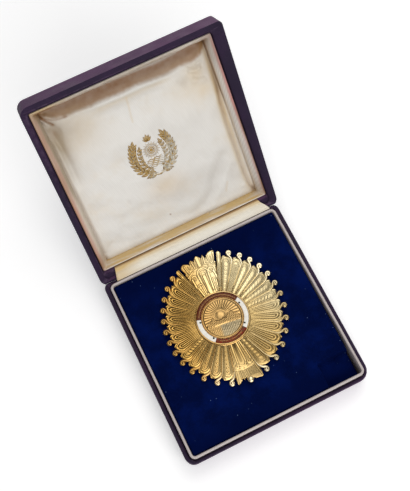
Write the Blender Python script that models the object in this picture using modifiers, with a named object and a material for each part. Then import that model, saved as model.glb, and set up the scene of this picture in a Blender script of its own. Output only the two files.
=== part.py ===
"""Order breast star, a gold sunburst with an enamelled medallion, lying in its hinged presentation case.

Metres, +Z up. The origin is the middle of the case's underside, +Y runs to the hinge and +X to the right.
The lid is drawn closed, in the same frame as the tray, and then hangs on an empty on the hinge axis.
"""

import math

import bmesh
import bpy
from mathutils import Matrix, Vector

MM = 0.001
OBJECT_NAME = "order_breast_star_in_case"
GAP = 0.3 * MM  # air left between pieces that touch

# Case tray
CASE_WIDTH = 130.0 * MM
CASE_DEPTH = 134.0 * MM
TRAY_HEIGHT = 18.0 * MM
TRAY_WALL = 3.2 * MM
TRAY_FLOOR = 4.0 * MM
EDGE_ROUND = 0.9 * MM
RIM = TRAY_HEIGHT  # height of the plane where tray and lid meet

# Cream liner that stands up inside the tray wall
LIP_WALL = 1.7 * MM
LIP_RISE = 2.5 * MM
LIP_CORNER = 3.6 * MM

# Velvet pad, lower than the liner, drawn in at the front right corner
VELVET_DROP = 1.5 * MM
VELVET_DRAW_IN = 1.4 * MM
VELVET_SOFT_EDGE = 0.9 * MM
RECESS_LEFT = 37.0 * MM
RECESS_BACK = -45.0 * MM
RECESS_DEPTH = 6.0 * MM

# Hinge: both halves are bevelled at the back, and the lid stops when the bevels meet
HINGE_INSET = 1.3 * MM
LID_OPEN = math.radians(131.0)
BEVEL_ANGLE = math.radians(66.5)

# Lid
LID_HEIGHT = 16.4 * MM
LID_BOARD = 2.0 * MM
LID_REBATE = 2.5 * MM
LID_REBATE_WALL = 3.2 * MM
LID_REBATE_SIDE = 61.8 * MM

# Satin inside the lid: the padded side strips slope from their edge at the rim to their foot at the panel
LINING_EDGE = {"left": -60.5 * MM, "right": 61.1 * MM, "front": -62.0 * MM, "back": 57.5 * MM}
LINING_FOOT = {"left": -55.4 * MM, "right": 57.0 * MM, "front": -57.4 * MM, "back": 55.5 * MM}
LINING_EDGE_WIDTH = 0.7 * MM
LINING_DEPTH = 10.9 * MM
PAD_THICKNESS = 2.6 * MM
PAD_CELLS = 18

# Satin strip over the hinge
STRIP_THICKNESS = 0.8 * MM

# Star, placed by its medallion's axis on the velvet
STAR_X = -4.4 * MM
STAR_Y = 8.4 * MM
STAR_LIFT = 1.8 * MM
STAR_PLATE = 1.2 * MM
STAR_RISE = 3.1 * MM
MEAN_REACH = 41.9 * MM
REACH_SHIFT = 2.4 * MM
REACH_SHIFT_TOWARDS = 58.0
REACH_OVAL = 2.4 * MM
REACH_OVAL_LEAN = 9.0
STAR_INNER = 14.0 * MM
SIDE_PETALS = 13
STEM_OFFSET = 3.8  # degrees from a curl's centre to its petal's edge

# Medallion
BEZEL_RADIUS = 17.9 * MM
BEZEL_WIDTH = 1.3 * MM
DISC_RADIUS = 13.6 * MM
ENAMEL_INNER = 14.0 * MM
ENAMEL_OUTER = 16.4 * MM
MEDALLION_HEIGHT = 1.75 * MM
MEDALLION_STEPS = 48

# Brooch pin behind the star
PIN_RADIUS = 0.6 * MM
PIN_REACH = 19.0 * MM

CORNER_STEPS = 5

HALF_W = CASE_WIDTH / 2
HALF_D = CASE_DEPTH / 2
LIP_INSET = TRAY_WALL + GAP
PAD_INSET = LIP_INSET + LIP_WALL + GAP
VELVET_TOP = RIM + LIP_RISE - VELVET_DROP
HINGE = Vector((0.0, HALF_D - HINGE_INSET, RIM + GAP / 2))
LID_RIM = RIM + GAP
STAR_BACK = VELVET_TOP + STAR_LIFT
STAR_EDGE_TOP = STAR_BACK + STAR_PLATE

# Outer corners in millimetres, front left first, of the tray's rim, its foot and the lid: the case has
# warped a little with age, and its front leans in towards the foot
TRAY_RIM_CORNERS = (
    {"x": -65.1, "y": -66.6, "radius": 6.5},
    {"x": 64.1, "y": -66.6, "radius": 8.0},
    {"x": 65.0, "y": 67.0, "radius": 5.0},
    {"x": -65.2, "y": 67.0, "radius": 5.0},
)
TRAY_FOOT_CORNERS = (
    {"x": -64.9, "y": -64.7, "radius": 5.5},
    {"x": 64.0, "y": -64.7, "radius": 6.0},
    {"x": 64.8, "y": 66.6, "radius": 5.0},
    {"x": -65.0, "y": 66.6, "radius": 5.0},
)
LID_CORNERS = (
    {"x": -65.5, "y": -67.5, "radius": 6.0},
    {"x": 69.6, "y": -67.5, "radius": 2.8},
    {"x": 66.4, "y": 67.0, "radius": 6.0},
    {"x": -65.4, "y": 67.0, "radius": 6.0},
)

# The two sides' rows of curled petals: first and last curl in degrees clockwise from the hinge side,
# the most that the row bows away from even steps, and the way its curls turn
PETAL_ROWS = (
    {"name": "right", "first": 31.3, "last": 165.6, "bow": -6.8, "turn": 1},
    {"name": "left", "first": 336.3, "last": 198.4, "bow": 4.4, "turn": -1},
)

# One curled petal across its width: place, length of its end as a share of the reach, and relief
PETAL_SECTION = (
    {"place": 0.00, "reach": 0.905, "relief": -0.40},
    {"place": 0.12, "reach": 0.952, "relief": 0.35},
    {"place": 0.31, "reach": 0.956, "relief": -0.10},
    {"place": 0.50, "reach": 0.950, "relief": 0.28},
    {"place": 0.69, "reach": 0.940, "relief": -0.10},
    {"place": 0.88, "reach": 0.922, "relief": 0.35},
)

# The plain half petals beside the upper panel, from the panel outwards
HALF_PETAL_SECTION = (
    {"place": 0.00, "reach": 0.86, "relief": -0.40},
    {"place": 0.14, "reach": 0.99, "relief": 0.30},
    {"place": 0.55, "reach": 1.00, "relief": 0.05},
    {"place": 0.86, "reach": 0.96, "relief": 0.35},
)

# Upper panel between its two slots: a leaf, a round lobe, the middle lobe, a round lobe and a leaf
UPPER_PANEL = (
    {"place": 0.00, "reach": 0.86, "relief": -0.40},
    {"place": 0.03, "reach": 1.02, "relief": 0.30},
    {"place": 0.14, "reach": 1.03, "relief": -0.05},
    {"place": 0.25, "reach": 1.01, "relief": 0.30},
    {"place": 0.28, "reach": 0.98, "relief": -0.30},
    {"place": 0.33, "reach": 1.02, "relief": 0.25},
    {"place": 0.38, "reach": 0.98, "relief": -0.30},
    {"place": 0.43, "reach": 1.015, "relief": 0.30},
    {"place": 0.50, "reach": 1.03, "relief": 0.10},
    {"place": 0.57, "reach": 1.015, "relief": 0.30},
    {"place": 0.62, "reach": 0.98, "relief": -0.30},
    {"place": 0.67, "reach": 1.02, "relief": 0.25},
    {"place": 0.72, "reach": 0.98, "relief": -0.30},
    {"place": 0.75, "reach": 1.01, "relief": 0.30},
    {"place": 0.86, "reach": 1.03, "relief": -0.05},
    {"place": 0.97, "reach": 1.025, "relief": 0.30},
)

# Lower panel: a wedge leaf, the stem of the ball, a small leaf and a wedge leaf
LOWER_PANEL = (
    {"place": 0.00, "reach": 0.89, "relief": -0.40},
    {"place": 0.06, "reach": 1.04, "relief": 0.30},
    {"place": 0.18, "reach": 1.01, "relief": 0.00},
    {"place": 0.32, "reach": 0.98, "relief": 0.30},
    {"place": 0.37, "reach": 0.94, "relief": -0.30},
    {"place": 0.44, "reach": 0.98, "relief": 0.30},
    {"place": 0.58, "reach": 0.98, "relief": 0.30},
    {"place": 0.64, "reach": 0.95, "relief": -0.30},
    {"place": 0.70, "reach": 0.98, "relief": 0.20},
    {"place": 0.77, "reach": 0.95, "relief": -0.30},
    {"place": 0.83, "reach": 0.98, "relief": 0.30},
    {"place": 0.93, "reach": 1.04, "relief": 0.10},
)

UPPER_PANEL_SPAN = (347.5, 380.0)
LOWER_PANEL_SPAN = (169.4, 194.6)
HALF_PETAL_WIDTH = 4.9

# Lengthwise sections of the star from the medallion outwards: place and strength of the relief
STAR_LENGTHWISE = (
    {"place": 0.00, "strength": 0.0},
    {"place": 0.16, "strength": 0.6},
    {"place": 0.42, "strength": 1.0},
    {"place": 0.68, "strength": 1.1},
    {"place": 0.88, "strength": 1.0},
    {"place": 0.97, "strength": 0.5},
)

# A curl's wire, in millimetres from its own centre: across is the way that the row runs
CURL_PATH = (
    {"across": 2.6, "out": -4.9, "wire": 0.62},
    {"across": 1.95, "out": -3.3, "wire": 0.66},
    {"across": 0.5, "out": -2.0, "wire": 0.66},
    {"across": -0.95, "out": -1.0, "wire": 0.64},
    {"across": -1.3, "out": 0.25, "wire": 0.62},
    {"across": -0.35, "out": 1.25, "wire": 0.62},
    {"across": 0.85, "out": 0.95, "wire": 0.66},
    {"across": 1.2, "out": -0.2, "wire": 0.78},
)
BALL_ANGLE = 182.0
BALL_REACH = 43.1 * MM
BALL_RADIUS = 2.2 * MM

# The enamel ring's four fields, in degrees clockwise from the hinge side
ENAMEL_FIELDS = (
    {"name": "enamel_red_upper", "first": -70.0, "last": 62.0, "colour": "red_enamel"},
    {"name": "enamel_white_right", "first": 62.0, "last": 140.0, "colour": "white_enamel"},
    {"name": "enamel_red_lower", "first": 140.0, "last": 222.0, "colour": "red_enamel"},
    {"name": "enamel_white_left", "first": 222.0, "last": 290.0, "colour": "white_enamel"},
)

# Folds pressed into the lid's satin pad, in shares of its width and depth from the hinge's left end
SATIN_FOLDS = (
    {"x0": 0.03, "y0": 0.97, "x1": 0.34, "y1": 0.70, "depth": 0.7, "width": 0.035},
    {"x0": 0.03, "y0": 0.90, "x1": 0.26, "y1": 0.55, "depth": 0.5, "width": 0.030},
    {"x0": 0.97, "y0": 0.97, "x1": 0.74, "y1": 0.62, "depth": 0.7, "width": 0.035},
    {"x0": 0.90, "y0": 0.98, "x1": 0.62, "y1": 0.80, "depth": 0.5, "width": 0.030},
    {"x0": 0.97, "y0": 0.06, "x1": 0.70, "y1": 0.34, "depth": 0.6, "width": 0.035},
    {"x0": 0.03, "y0": 0.05, "x1": 0.30, "y1": 0.30, "depth": 0.6, "width": 0.035},
    {"x0": 0.50, "y0": 0.02, "x1": 0.54, "y1": 0.22, "depth": 0.4, "width": 0.030},
)

# Colour, roughness and metallic value of each finish
FINISHES = {
    "leatherette": ((0.035, 0.022, 0.045), 0.45, 0.0),
    "cream_lining": ((0.70, 0.63, 0.58), 0.50, 0.0),
    "velvet": ((0.002, 0.005, 0.05), 0.95, 0.0),
    "satin": ((0.72, 0.66, 0.56), 0.38, 0.0),
    "gold": ((0.83, 0.60, 0.22), 0.28, 1.0),
    "red_enamel": ((0.22, 0.02, 0.015), 0.12, 0.0),
    "white_enamel": ((0.86, 0.85, 0.82), 0.12, 0.0),
}


def clear_scene():
    for old in list(bpy.data.objects):
        bpy.data.objects.remove(old, do_unlink=True)


def make_collections():
    parts = bpy.data.collections.new(OBJECT_NAME)
    cutters = bpy.data.collections.new("cutters")
    bpy.context.scene.collection.children.link(parts)
    bpy.context.scene.collection.children.link(cutters)
    return parts, cutters


def finish_material(node_name, finish):
    colour, roughness, metallic = FINISHES[finish]
    material = bpy.data.materials.new(f"{node_name}_{finish}")
    material.use_nodes = True
    shader = material.node_tree.nodes["Principled BSDF"]
    shader.inputs["Base Color"].default_value = (*colour, 1.0)
    shader.inputs["Roughness"].default_value = roughness
    shader.inputs["Metallic"].default_value = metallic
    return material


class Workshop:
    """Where finished pieces and their cutters go."""

    def __init__(self):
        self.parts, self.cutters = make_collections()
        self.lid_axis = bpy.data.objects.new("lid_hinge_axis", None)
        self.lid_axis.location = HINGE
        self.lid_axis.rotation_euler = (-LID_OPEN, 0.0, 0.0)
        self.parts.objects.link(self.lid_axis)

    def part(self, name, mesh, finish, on_lid=False):
        piece = bpy.data.objects.new(name, mesh)
        self.parts.objects.link(piece)
        piece.data.materials.append(finish_material(name, finish))
        self.hang(piece, on_lid)
        return piece

    def cutter(self, name, mesh, on_lid=False):
        tool = bpy.data.objects.new(name, mesh)
        self.cutters.objects.link(tool)
        tool.hide_render = True
        tool.display_type = "WIRE"
        self.hang(tool, on_lid)
        return tool

    def hang(self, thing, on_lid):
        if on_lid:
            thing.parent = self.lid_axis
            thing.location = -HINGE


def mesh_from_bmesh(name, shape):
    bmesh.ops.recalc_face_normals(shape, faces=shape.faces)
    mesh = bpy.data.meshes.new(name)
    shape.to_mesh(mesh)
    shape.free()
    return mesh


def shade(mesh, sharp_degrees=35.0):
    mesh.shade_smooth()
    mesh.set_sharp_from_angle(angle=math.radians(sharp_degrees))


def rounded_outline(corners, radii, steps=CORNER_STEPS):
    """The corners of a convex outline, taken counter-clockwise, each turned into an arc."""
    points = []
    count = len(corners)
    for index, corner in enumerate(corners):
        here = Vector(corner)
        radius = radii[index]
        back = (Vector(corners[index - 1]) - here).normalized()
        ahead = (Vector(corners[(index + 1) % count]) - here).normalized()
        half_angle = back.angle(ahead) / 2
        centre = here + (back + ahead).normalized() * (radius / math.sin(half_angle))
        start = here + back * (radius / math.tan(half_angle)) - centre
        sweep = math.pi - 2 * half_angle
        for step in range(steps + 1):
            points.append(centre + Matrix.Rotation(sweep * step / steps, 2) @ start)
    return points


def rounded_box(left, right, front, back, radius):
    corners = ((left, front), (right, front), (right, back), (left, back))
    return rounded_outline(corners, [radius] * 4)


def inset_box(inset, radius):
    """Outline parallel to the case's nominal sides."""
    return rounded_box(-HALF_W + inset, HALF_W - inset, -HALF_D + inset, HALF_D - inset, radius)


def outer_outline(table):
    """Outline from a table of corners and their radii."""
    corners = [(line["x"] * MM, line["y"] * MM) for line in table]
    return rounded_outline(corners, [line["radius"] * MM for line in table])


def prism(name, outlines, low, high):
    """A flat outline, with any further outlines as holes, extruded from low to high."""
    curve = bpy.data.curves.new(name, "CURVE")
    curve.dimensions = "2D"
    curve.fill_mode = "BOTH"
    curve.extrude = (high - low) / 2
    for outline in outlines:
        spline = curve.splines.new("POLY")
        spline.points.add(len(outline) - 1)
        for point, place in zip(spline.points, outline):
            point.co = (place[0], place[1], 0.0, 1.0)
        spline.use_cyclic_u = True
    return mesh_from_curve(curve, Matrix.Translation((0.0, 0.0, (low + high) / 2)))


def mesh_from_curve(curve, placing):
    holder = bpy.data.objects.new(curve.name, curve)
    bpy.context.scene.collection.objects.link(holder)
    bpy.context.view_layer.update()
    mesh = bpy.data.meshes.new_from_object(holder.evaluated_get(bpy.context.evaluated_depsgraph_get()))
    bpy.data.objects.remove(holder)
    shape = bmesh.new()
    shape.from_mesh(mesh)
    bmesh.ops.remove_doubles(shape, verts=shape.verts, dist=1e-6)
    bmesh.ops.transform(shape, matrix=placing, verts=shape.verts)
    return mesh_from_bmesh(curve.name, shape)


def wire(name, points, radii, sides=1):
    """A round wire through the points, with filled ends."""
    curve = bpy.data.curves.new(name, "CURVE")
    curve.dimensions = "3D"
    curve.bevel_depth = 1.0
    curve.bevel_resolution = sides
    curve.use_fill_caps = True
    spline = curve.splines.new("POLY")
    spline.points.add(len(points) - 1)
    for point, place, radius in zip(spline.points, points, radii):
        point.co = (*place, 1.0)
        point.radius = radius
    return mesh_from_curve(curve, Matrix.Identity(4))


def loft(name, sections):
    """A closed solid through sections of equally many points, capped at both ends."""
    shape = bmesh.new()
    rings = []
    for section in sections:
        rings.append([shape.verts.new(point) for point in section])
    count = len(rings[0])
    for lower, upper in zip(rings, rings[1:]):
        for index in range(count):
            following = (index + 1) % count
            shape.faces.new((lower[index], lower[following], upper[following], upper[index]))
    shape.faces.new(list(reversed(rings[0])))
    shape.faces.new(rings[-1])
    return mesh_from_bmesh(name, shape)


def at_height(outline, height):
    return [(point[0], point[1], height) for point in outline]


def cuboid(name, low, high):
    shape = bmesh.new()
    bmesh.ops.create_cube(shape, size=1.0)
    low = Vector(low)
    high = Vector(high)
    size = high - low
    bmesh.ops.scale(shape, vec=size, verts=shape.verts)
    bmesh.ops.translate(shape, vec=(low + high) / 2, verts=shape.verts)
    return mesh_from_bmesh(name, shape)


def cut(piece, tool, operation="DIFFERENCE"):
    modifier = piece.modifiers.new(f"{operation.lower()} {tool.name}", "BOOLEAN")
    modifier.operation = operation
    modifier.solver = "EXACT"
    modifier.object = tool


def soften(piece, width, degrees=50.0, segments=2):
    modifier = piece.modifiers.new("soft edges", "BEVEL")
    modifier.width = width
    modifier.segments = segments
    modifier.limit_method = "ANGLE"
    modifier.angle_limit = math.radians(degrees)


def hinge_bevel_mesh(name, side):
    """The block that bevels one half's back edge; side is -1 for the tray and 1 for the lid."""
    length = 12.0 * MM
    shape = bmesh.new()
    bmesh.ops.create_cube(shape, size=1.0)
    bmesh.ops.scale(shape, vec=(CASE_WIDTH * 1.2, length, length * 2), verts=shape.verts)
    bmesh.ops.translate(shape, vec=(0.0, length / 2 - GAP / 2, 0.0), verts=shape.verts)
    tilt = Matrix.Rotation(-side * (math.pi / 2 - BEVEL_ANGLE), 4, "X")
    bmesh.ops.transform(shape, matrix=Matrix.Translation(HINGE) @ tilt, verts=shape.verts)
    return mesh_from_bmesh(name, shape)


def build_tray(shop):
    mesh = loft("case_base", [
        at_height(outer_outline(TRAY_FOOT_CORNERS), 0.0),
        at_height(outer_outline(TRAY_RIM_CORNERS), RIM),
    ])
    tray = shop.part("case_base", mesh, "leatherette")
    soften(tray, EDGE_ROUND)
    hollow = prism("tray_hollow", [inset_box(TRAY_WALL, LIP_CORNER)], TRAY_FLOOR, RIM + 5 * MM)
    cut(tray, shop.cutter("tray_hollow", hollow))
    cut(tray, shop.cutter("tray_bevel", hinge_bevel_mesh("tray_bevel", -1)))


def build_lip(shop):
    outer = inset_box(LIP_INSET, LIP_CORNER)
    inner = inset_box(LIP_INSET + LIP_WALL, LIP_CORNER - LIP_WALL)
    mesh = prism("base_lip", [outer, inner], TRAY_FLOOR + GAP, RIM + LIP_RISE)
    lip = shop.part("base_lip", mesh, "cream_lining")
    soften(lip, 0.35 * MM, segments=1)


def build_velvet(shop):
    left = -HALF_W + PAD_INSET
    right = HALF_W - PAD_INSET
    front = -HALF_D + PAD_INSET
    back = HALF_D - PAD_INSET
    corners = ((left, front), (right - VELVET_DRAW_IN, front), (right, back), (left, back))
    outline = rounded_outline(corners, [1.8 * MM] * 4, 3)
    mesh = prism("velvet_pad", [outline], TRAY_FLOOR + GAP, VELVET_TOP)
    pad = shop.part("velvet_pad", mesh, "velvet")
    recess = cuboid(
        "velvet_recess",
        (RECESS_LEFT, front - 5 * MM, VELVET_TOP - RECESS_DEPTH),
        (right + 5 * MM, RECESS_BACK, VELVET_TOP + 5 * MM),
    )
    cut(pad, shop.cutter("velvet_recess", recess))
    soften(pad, VELVET_SOFT_EDGE, degrees=60.0)


def build_lid(shop):
    mesh = prism("case_lid", [outer_outline(LID_CORNERS)], LID_RIM, LID_RIM + LID_HEIGHT)
    lid = shop.part("case_lid", mesh, "leatherette", on_lid=True)
    soften(lid, EDGE_ROUND)
    front = -HALF_D + LID_REBATE_WALL
    rebate = rounded_box(-LID_REBATE_SIDE, LID_REBATE_SIDE, front, -front, LIP_CORNER)
    rebate_mesh = prism("lid_rebate", [rebate], LID_RIM - 5 * MM, LID_RIM + LID_REBATE)
    cut(lid, shop.cutter("lid_rebate", rebate_mesh, on_lid=True))
    hollow_mesh = prism("lid_hollow", [lining_outline(LINING_EDGE, -GAP, 1.2 * MM)],
                        LID_RIM + LID_REBATE - 1 * MM, LID_RIM + LID_HEIGHT - LID_BOARD)
    cut(lid, shop.cutter("lid_hollow", hollow_mesh, on_lid=True))
    cut(lid, shop.cutter("lid_bevel", hinge_bevel_mesh("lid_bevel", 1), on_lid=True))


def lining_outline(sides, inset, radius):
    return rounded_box(sides["left"] + inset, sides["right"] - inset,
                       sides["front"] + inset, sides["back"] - inset, radius)


def build_lid_lining(shop):
    """Padded side strips that slope from the lid's rim down to the panel."""
    top = LID_RIM + LID_REBATE + 0.1 * MM
    foot = LID_RIM + LINING_DEPTH
    back = LID_RIM + LID_HEIGHT - LID_BOARD - GAP
    mesh = prism("lid_side_lining", [lining_outline(LINING_EDGE, 0.0, 1.0 * MM)], top, back)
    lining = shop.part("lid_side_lining", mesh, "satin", on_lid=True)
    edge = lining_outline(LINING_EDGE, LINING_EDGE_WIDTH, 0.9 * MM)
    inner = lining_outline(LINING_FOOT, 0.0, 0.5 * MM)
    space = loft("lining_space", [
        at_height(edge, top - 2 * MM),
        at_height(edge, top),
        at_height(inner, foot),
        at_height(inner, back + 2 * MM),
    ])
    cut(lining, shop.cutter("lining_space", space, on_lid=True))


def fold_depth(fold, x, y):
    """How far one fold presses in at a place on the pad, all in shares of its size."""
    along = Vector((fold["x1"] - fold["x0"], fold["y1"] - fold["y0"]))
    from_start = Vector((x - fold["x0"], y - fold["y0"]))
    share = max(0.0, min(1.0, from_start.dot(along) / along.length_squared))
    away = (from_start - along * share).length / fold["width"]
    return fold["depth"] * MM * math.exp(-away * away) * (1.0 - share)


def pad_surface(x, y):
    """Height of the satin above the pad's own edge."""
    puff = (math.sin(math.pi * x) * math.sin(math.pi * y)) ** 0.5
    sinking = sum(fold_depth(fold, x, y) for fold in SATIN_FOLDS)
    return 0.9 * MM * puff - sinking * puff


def build_satin_pad(shop):
    """Puffed panel in the lid, its face towards the rim, with folds that run in from the corners."""
    left = LINING_FOOT["left"] + GAP
    right = LINING_FOOT["right"] - GAP
    front = LINING_FOOT["front"] + GAP
    back_edge = LINING_FOOT["back"] - GAP
    back = LID_RIM + LID_HEIGHT - LID_BOARD - GAP
    shape = bmesh.new()
    grid = []
    for row in range(PAD_CELLS + 1):
        grid.append([])
        for column in range(PAD_CELLS + 1):
            x = column / PAD_CELLS
            y = row / PAD_CELLS
            place = (left + (right - left) * x, back_edge + (front - back_edge) * y)
            drop = back - PAD_THICKNESS - max(pad_surface(x, y), 0.0)
            grid[row].append(shape.verts.new((*place, drop)))
    for row in range(PAD_CELLS):
        for column in range(PAD_CELLS):
            shape.faces.new((grid[row][column], grid[row][column + 1],
                             grid[row + 1][column + 1], grid[row + 1][column]))
    edge = grid[0] + [row[-1] for row in grid[1:]] + grid[-1][-2::-1] + [row[0] for row in grid[-2:0:-1]]
    backing = [shape.verts.new((vert.co.x, vert.co.y, back)) for vert in edge]
    for index in range(len(edge)):
        following = (index + 1) % len(edge)
        shape.faces.new((edge[index], edge[following], backing[following], backing[index]))
    shape.faces.new(backing)
    pad = shop.part("lid_satin_pad", mesh_from_bmesh("lid_satin_pad", shape), "satin", on_lid=True)
    shade(pad.data, 60.0)


def opened(y, z):
    """Where a point of the closed lid lies once the lid is open."""
    offset = Vector((0.0, y, z)) - HINGE
    return HINGE + Matrix.Rotation(-LID_OPEN, 3, "X") @ offset


def build_hinge_strip(shop):
    """Satin strip from the lid's hinge side down behind the liner; an open sheet with a thickness."""
    lid_end = opened(LINING_EDGE["back"] + 0.6 * MM, LID_RIM + LID_REBATE - 0.9 * MM)
    lid_near = opened(LINING_EDGE["back"] + 3.4 * MM, LID_RIM + LID_REBATE - 1.2 * MM)
    lip_back = HALF_D - LIP_INSET
    route = (
        {"y": lid_end.y, "z": lid_end.z, "left": -53.0, "right": 54.0},
        {"y": lid_near.y, "z": lid_near.z, "left": -53.6, "right": 55.5},
        {"y": lip_back + 4.2 * MM, "z": RIM + 2.7 * MM, "left": -54.2, "right": 57.0},
        {"y": lip_back + 2.2 * MM, "z": RIM + 2.2 * MM, "left": -54.7, "right": 58.2},
        {"y": lip_back + 1.0 * MM, "z": RIM + 1.7 * MM, "left": -55.0, "right": 59.0},
    )
    shape = bmesh.new()
    rows = []
    for line in route:
        ends = (line["left"] * MM, 0.0, line["right"] * MM)
        rows.append([shape.verts.new((x, line["y"], line["z"])) for x in ends])
    for lower, upper in zip(rows, rows[1:]):
        for index in range(2):
            shape.faces.new((lower[index], lower[index + 1], upper[index + 1], upper[index]))
    strip = shop.part("hinge_strip", mesh_from_bmesh("hinge_strip", shape), "satin")
    sheet = strip.modifiers.new("thickness", "SOLIDIFY")
    sheet.thickness = STRIP_THICKNESS
    sheet.offset = 0.0
    shade(strip.data)


def dome(radius):
    """Height of the star's plain upper face."""
    share = min(radius / MEAN_REACH, 1.1)
    return STAR_EDGE_TOP + STAR_RISE * (1.0 - share ** 1.7)


MEDALLION_SEAT = dome(STAR_INNER) + GAP
MEDALLION_TOP = MEDALLION_SEAT + MEDALLION_HEIGHT


def reach(angle):
    """Distance from the medallion's axis to the ring of curl centres."""
    shift = REACH_SHIFT * math.cos(math.radians(angle - REACH_SHIFT_TOWARDS))
    oval = REACH_OVAL * math.cos(2 * math.radians(angle - REACH_OVAL_LEAN))
    return MEAN_REACH + shift + oval


def star_place(angle, radius):
    turned = math.radians(angle)
    return (STAR_X + radius * math.sin(turned), STAR_Y + radius * math.cos(turned))


def curl_angle(row, index):
    share = index / (SIDE_PETALS - 1)
    even = row["first"] + (row["last"] - row["first"]) * share
    return even + row["bow"] * math.sin(math.pi * share)


def petal_edges(row):
    """The angles between a row's petals, from the upper panel downwards."""
    upper = UPPER_PANEL_SPAN[1] - 360.0 if row["turn"] > 0 else UPPER_PANEL_SPAN[0]
    edges = [upper + row["turn"] * HALF_PETAL_WIDTH]
    for index in range(SIDE_PETALS):
        edges.append(curl_angle(row, index) + row["turn"] * STEM_OFFSET)
    edges[-1] = LOWER_PANEL_SPAN[0] if row["turn"] > 0 else LOWER_PANEL_SPAN[1]
    return edges


def section_columns(section, start, end):
    """One row for each column of the star: its angle, the end's radius and the relief."""
    columns = []
    for line in section:
        angle = start + (end - start) * line["place"]
        columns.append({"angle": angle, "end": reach(angle) * line["reach"], "relief": line["relief"] * MM})
    return columns


def star_columns():
    """All columns, clockwise from the upper panel's right slot, for both rows and both panels."""
    upper_right = UPPER_PANEL_SPAN[1] - 360.0
    columns = section_columns(HALF_PETAL_SECTION, upper_right, upper_right + HALF_PETAL_WIDTH)
    right, left = PETAL_ROWS
    edges = petal_edges(right)
    for start, end in zip(edges, edges[1:]):
        columns += section_columns(PETAL_SECTION, start, end)
    columns += section_columns(LOWER_PANEL, *LOWER_PANEL_SPAN)
    edges = petal_edges(left)
    mirrored = []
    upper_left = UPPER_PANEL_SPAN[0]
    for start, end in [(upper_left, upper_left - HALF_PETAL_WIDTH)]:
        mirrored += section_columns(HALF_PETAL_SECTION, start, end)
    for start, end in zip(edges, edges[1:]):
        mirrored += section_columns(PETAL_SECTION, start, end)
    mirrored.append({"angle": edges[-1], "end": reach(edges[-1]) * 0.89, "relief": -0.4 * MM})
    columns += list(reversed(mirrored))
    upper = section_columns(UPPER_PANEL, *UPPER_PANEL_SPAN)
    columns += upper[1:]
    return columns


def build_star_plate(shop):
    """The struck sunburst: domed, hollow behind, with ridged petals, slots and curled tips."""
    columns = star_columns()
    sections = []
    for line in reversed(STAR_LENGTHWISE):
        ring = []
        for column in columns:
            radius = STAR_INNER + (column["end"] - STAR_INNER) * line["place"]
            height = dome(radius) + column["relief"] * line["strength"]
            ring.append((*star_place(column["angle"], radius), height))
        sections.append(ring)
    edge = [(*star_place(column["angle"], column["end"]), dome(column["end"]) - 0.5 * MM)
            for column in columns]
    back = []
    for place in (1.0, 0.45, 0.0):
        ring = []
        for column in columns:
            radius = STAR_INNER + (column["end"] - 0.1 * MM - STAR_INNER) * place
            ring.append((*star_place(column["angle"], radius), dome(radius) - STAR_PLATE))
        back.append(ring)
    mesh = loft("star_plate", list(reversed(back)) + [edge] + sections)
    star = shop.part("star_plate", mesh, "gold")
    cut(star, shop.cutter("star_curls", curls_mesh()), "UNION")
    shade(star.data, 50.0)


def curls_mesh():
    """The curled wires of both rows and the ball below, to be fused to the plate."""
    shape = bmesh.new()
    middle = STAR_EDGE_TOP - 0.65 * MM
    for row in PETAL_ROWS:
        for index in range(SIDE_PETALS):
            angle = curl_angle(row, index)
            points = []
            for line in CURL_PATH:
                radius = reach(angle) + line["out"] * MM
                across = math.degrees(line["across"] * row["turn"] * MM / radius)
                place = star_place(angle + across, radius)
                points.append((*place, max(middle, dome(radius) - 0.45 * MM)))
            curl = wire("curl", points, [line["wire"] * MM for line in CURL_PATH])
            shape.from_mesh(curl)
    ball = bmesh.ops.create_uvsphere(shape, u_segments=12, v_segments=8, radius=BALL_RADIUS)
    flatten = Matrix.Diagonal((1.0, 1.0, 0.55, 1.0))
    place = Matrix.Translation((*star_place(BALL_ANGLE, BALL_REACH), middle + 0.1 * MM))
    bmesh.ops.transform(shape, matrix=place @ flatten, verts=ball["verts"])
    return mesh_from_bmesh("star_curls", shape)


def turned(name, profile, steps):
    """A turned piece from its outer profile, top to bottom, and back up its inner side."""
    shape = bmesh.new()
    ring = [shape.verts.new((radius, 0.0, height)) for radius, height in profile]
    for index in range(len(ring)):
        shape.edges.new((ring[index], ring[(index + 1) % len(ring)]))
    mesh = bpy.data.meshes.new(name)
    shape.to_mesh(mesh)
    shape.free()
    piece = bpy.data.objects.new(name, mesh)
    screw = piece.modifiers.new("turn", "SCREW")
    screw.steps = steps
    screw.render_steps = steps
    screw.use_merge_vertices = True
    screw.merge_threshold = 0.00001
    screw.use_normal_calculate = True
    return piece


def build_bezel(shop):
    """Round gold collar that holds the enamel and the disc."""
    inner = BEZEL_RADIUS - BEZEL_WIDTH
    profile = (
        (inner, MEDALLION_TOP - 0.3 * MM),
        (inner + 0.35 * MM, MEDALLION_TOP),
        (BEZEL_RADIUS - 0.35 * MM, MEDALLION_TOP),
        (BEZEL_RADIUS, MEDALLION_TOP - 0.5 * MM),
        (BEZEL_RADIUS, MEDALLION_SEAT),
        (inner, MEDALLION_SEAT),
    )
    bezel = turned("medallion_bezel", profile, MEDALLION_STEPS)
    bezel.location = (STAR_X, STAR_Y, 0.0)
    shop.parts.objects.link(bezel)
    bezel.data.materials.append(finish_material("medallion_bezel", "gold"))
    return bezel


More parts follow.
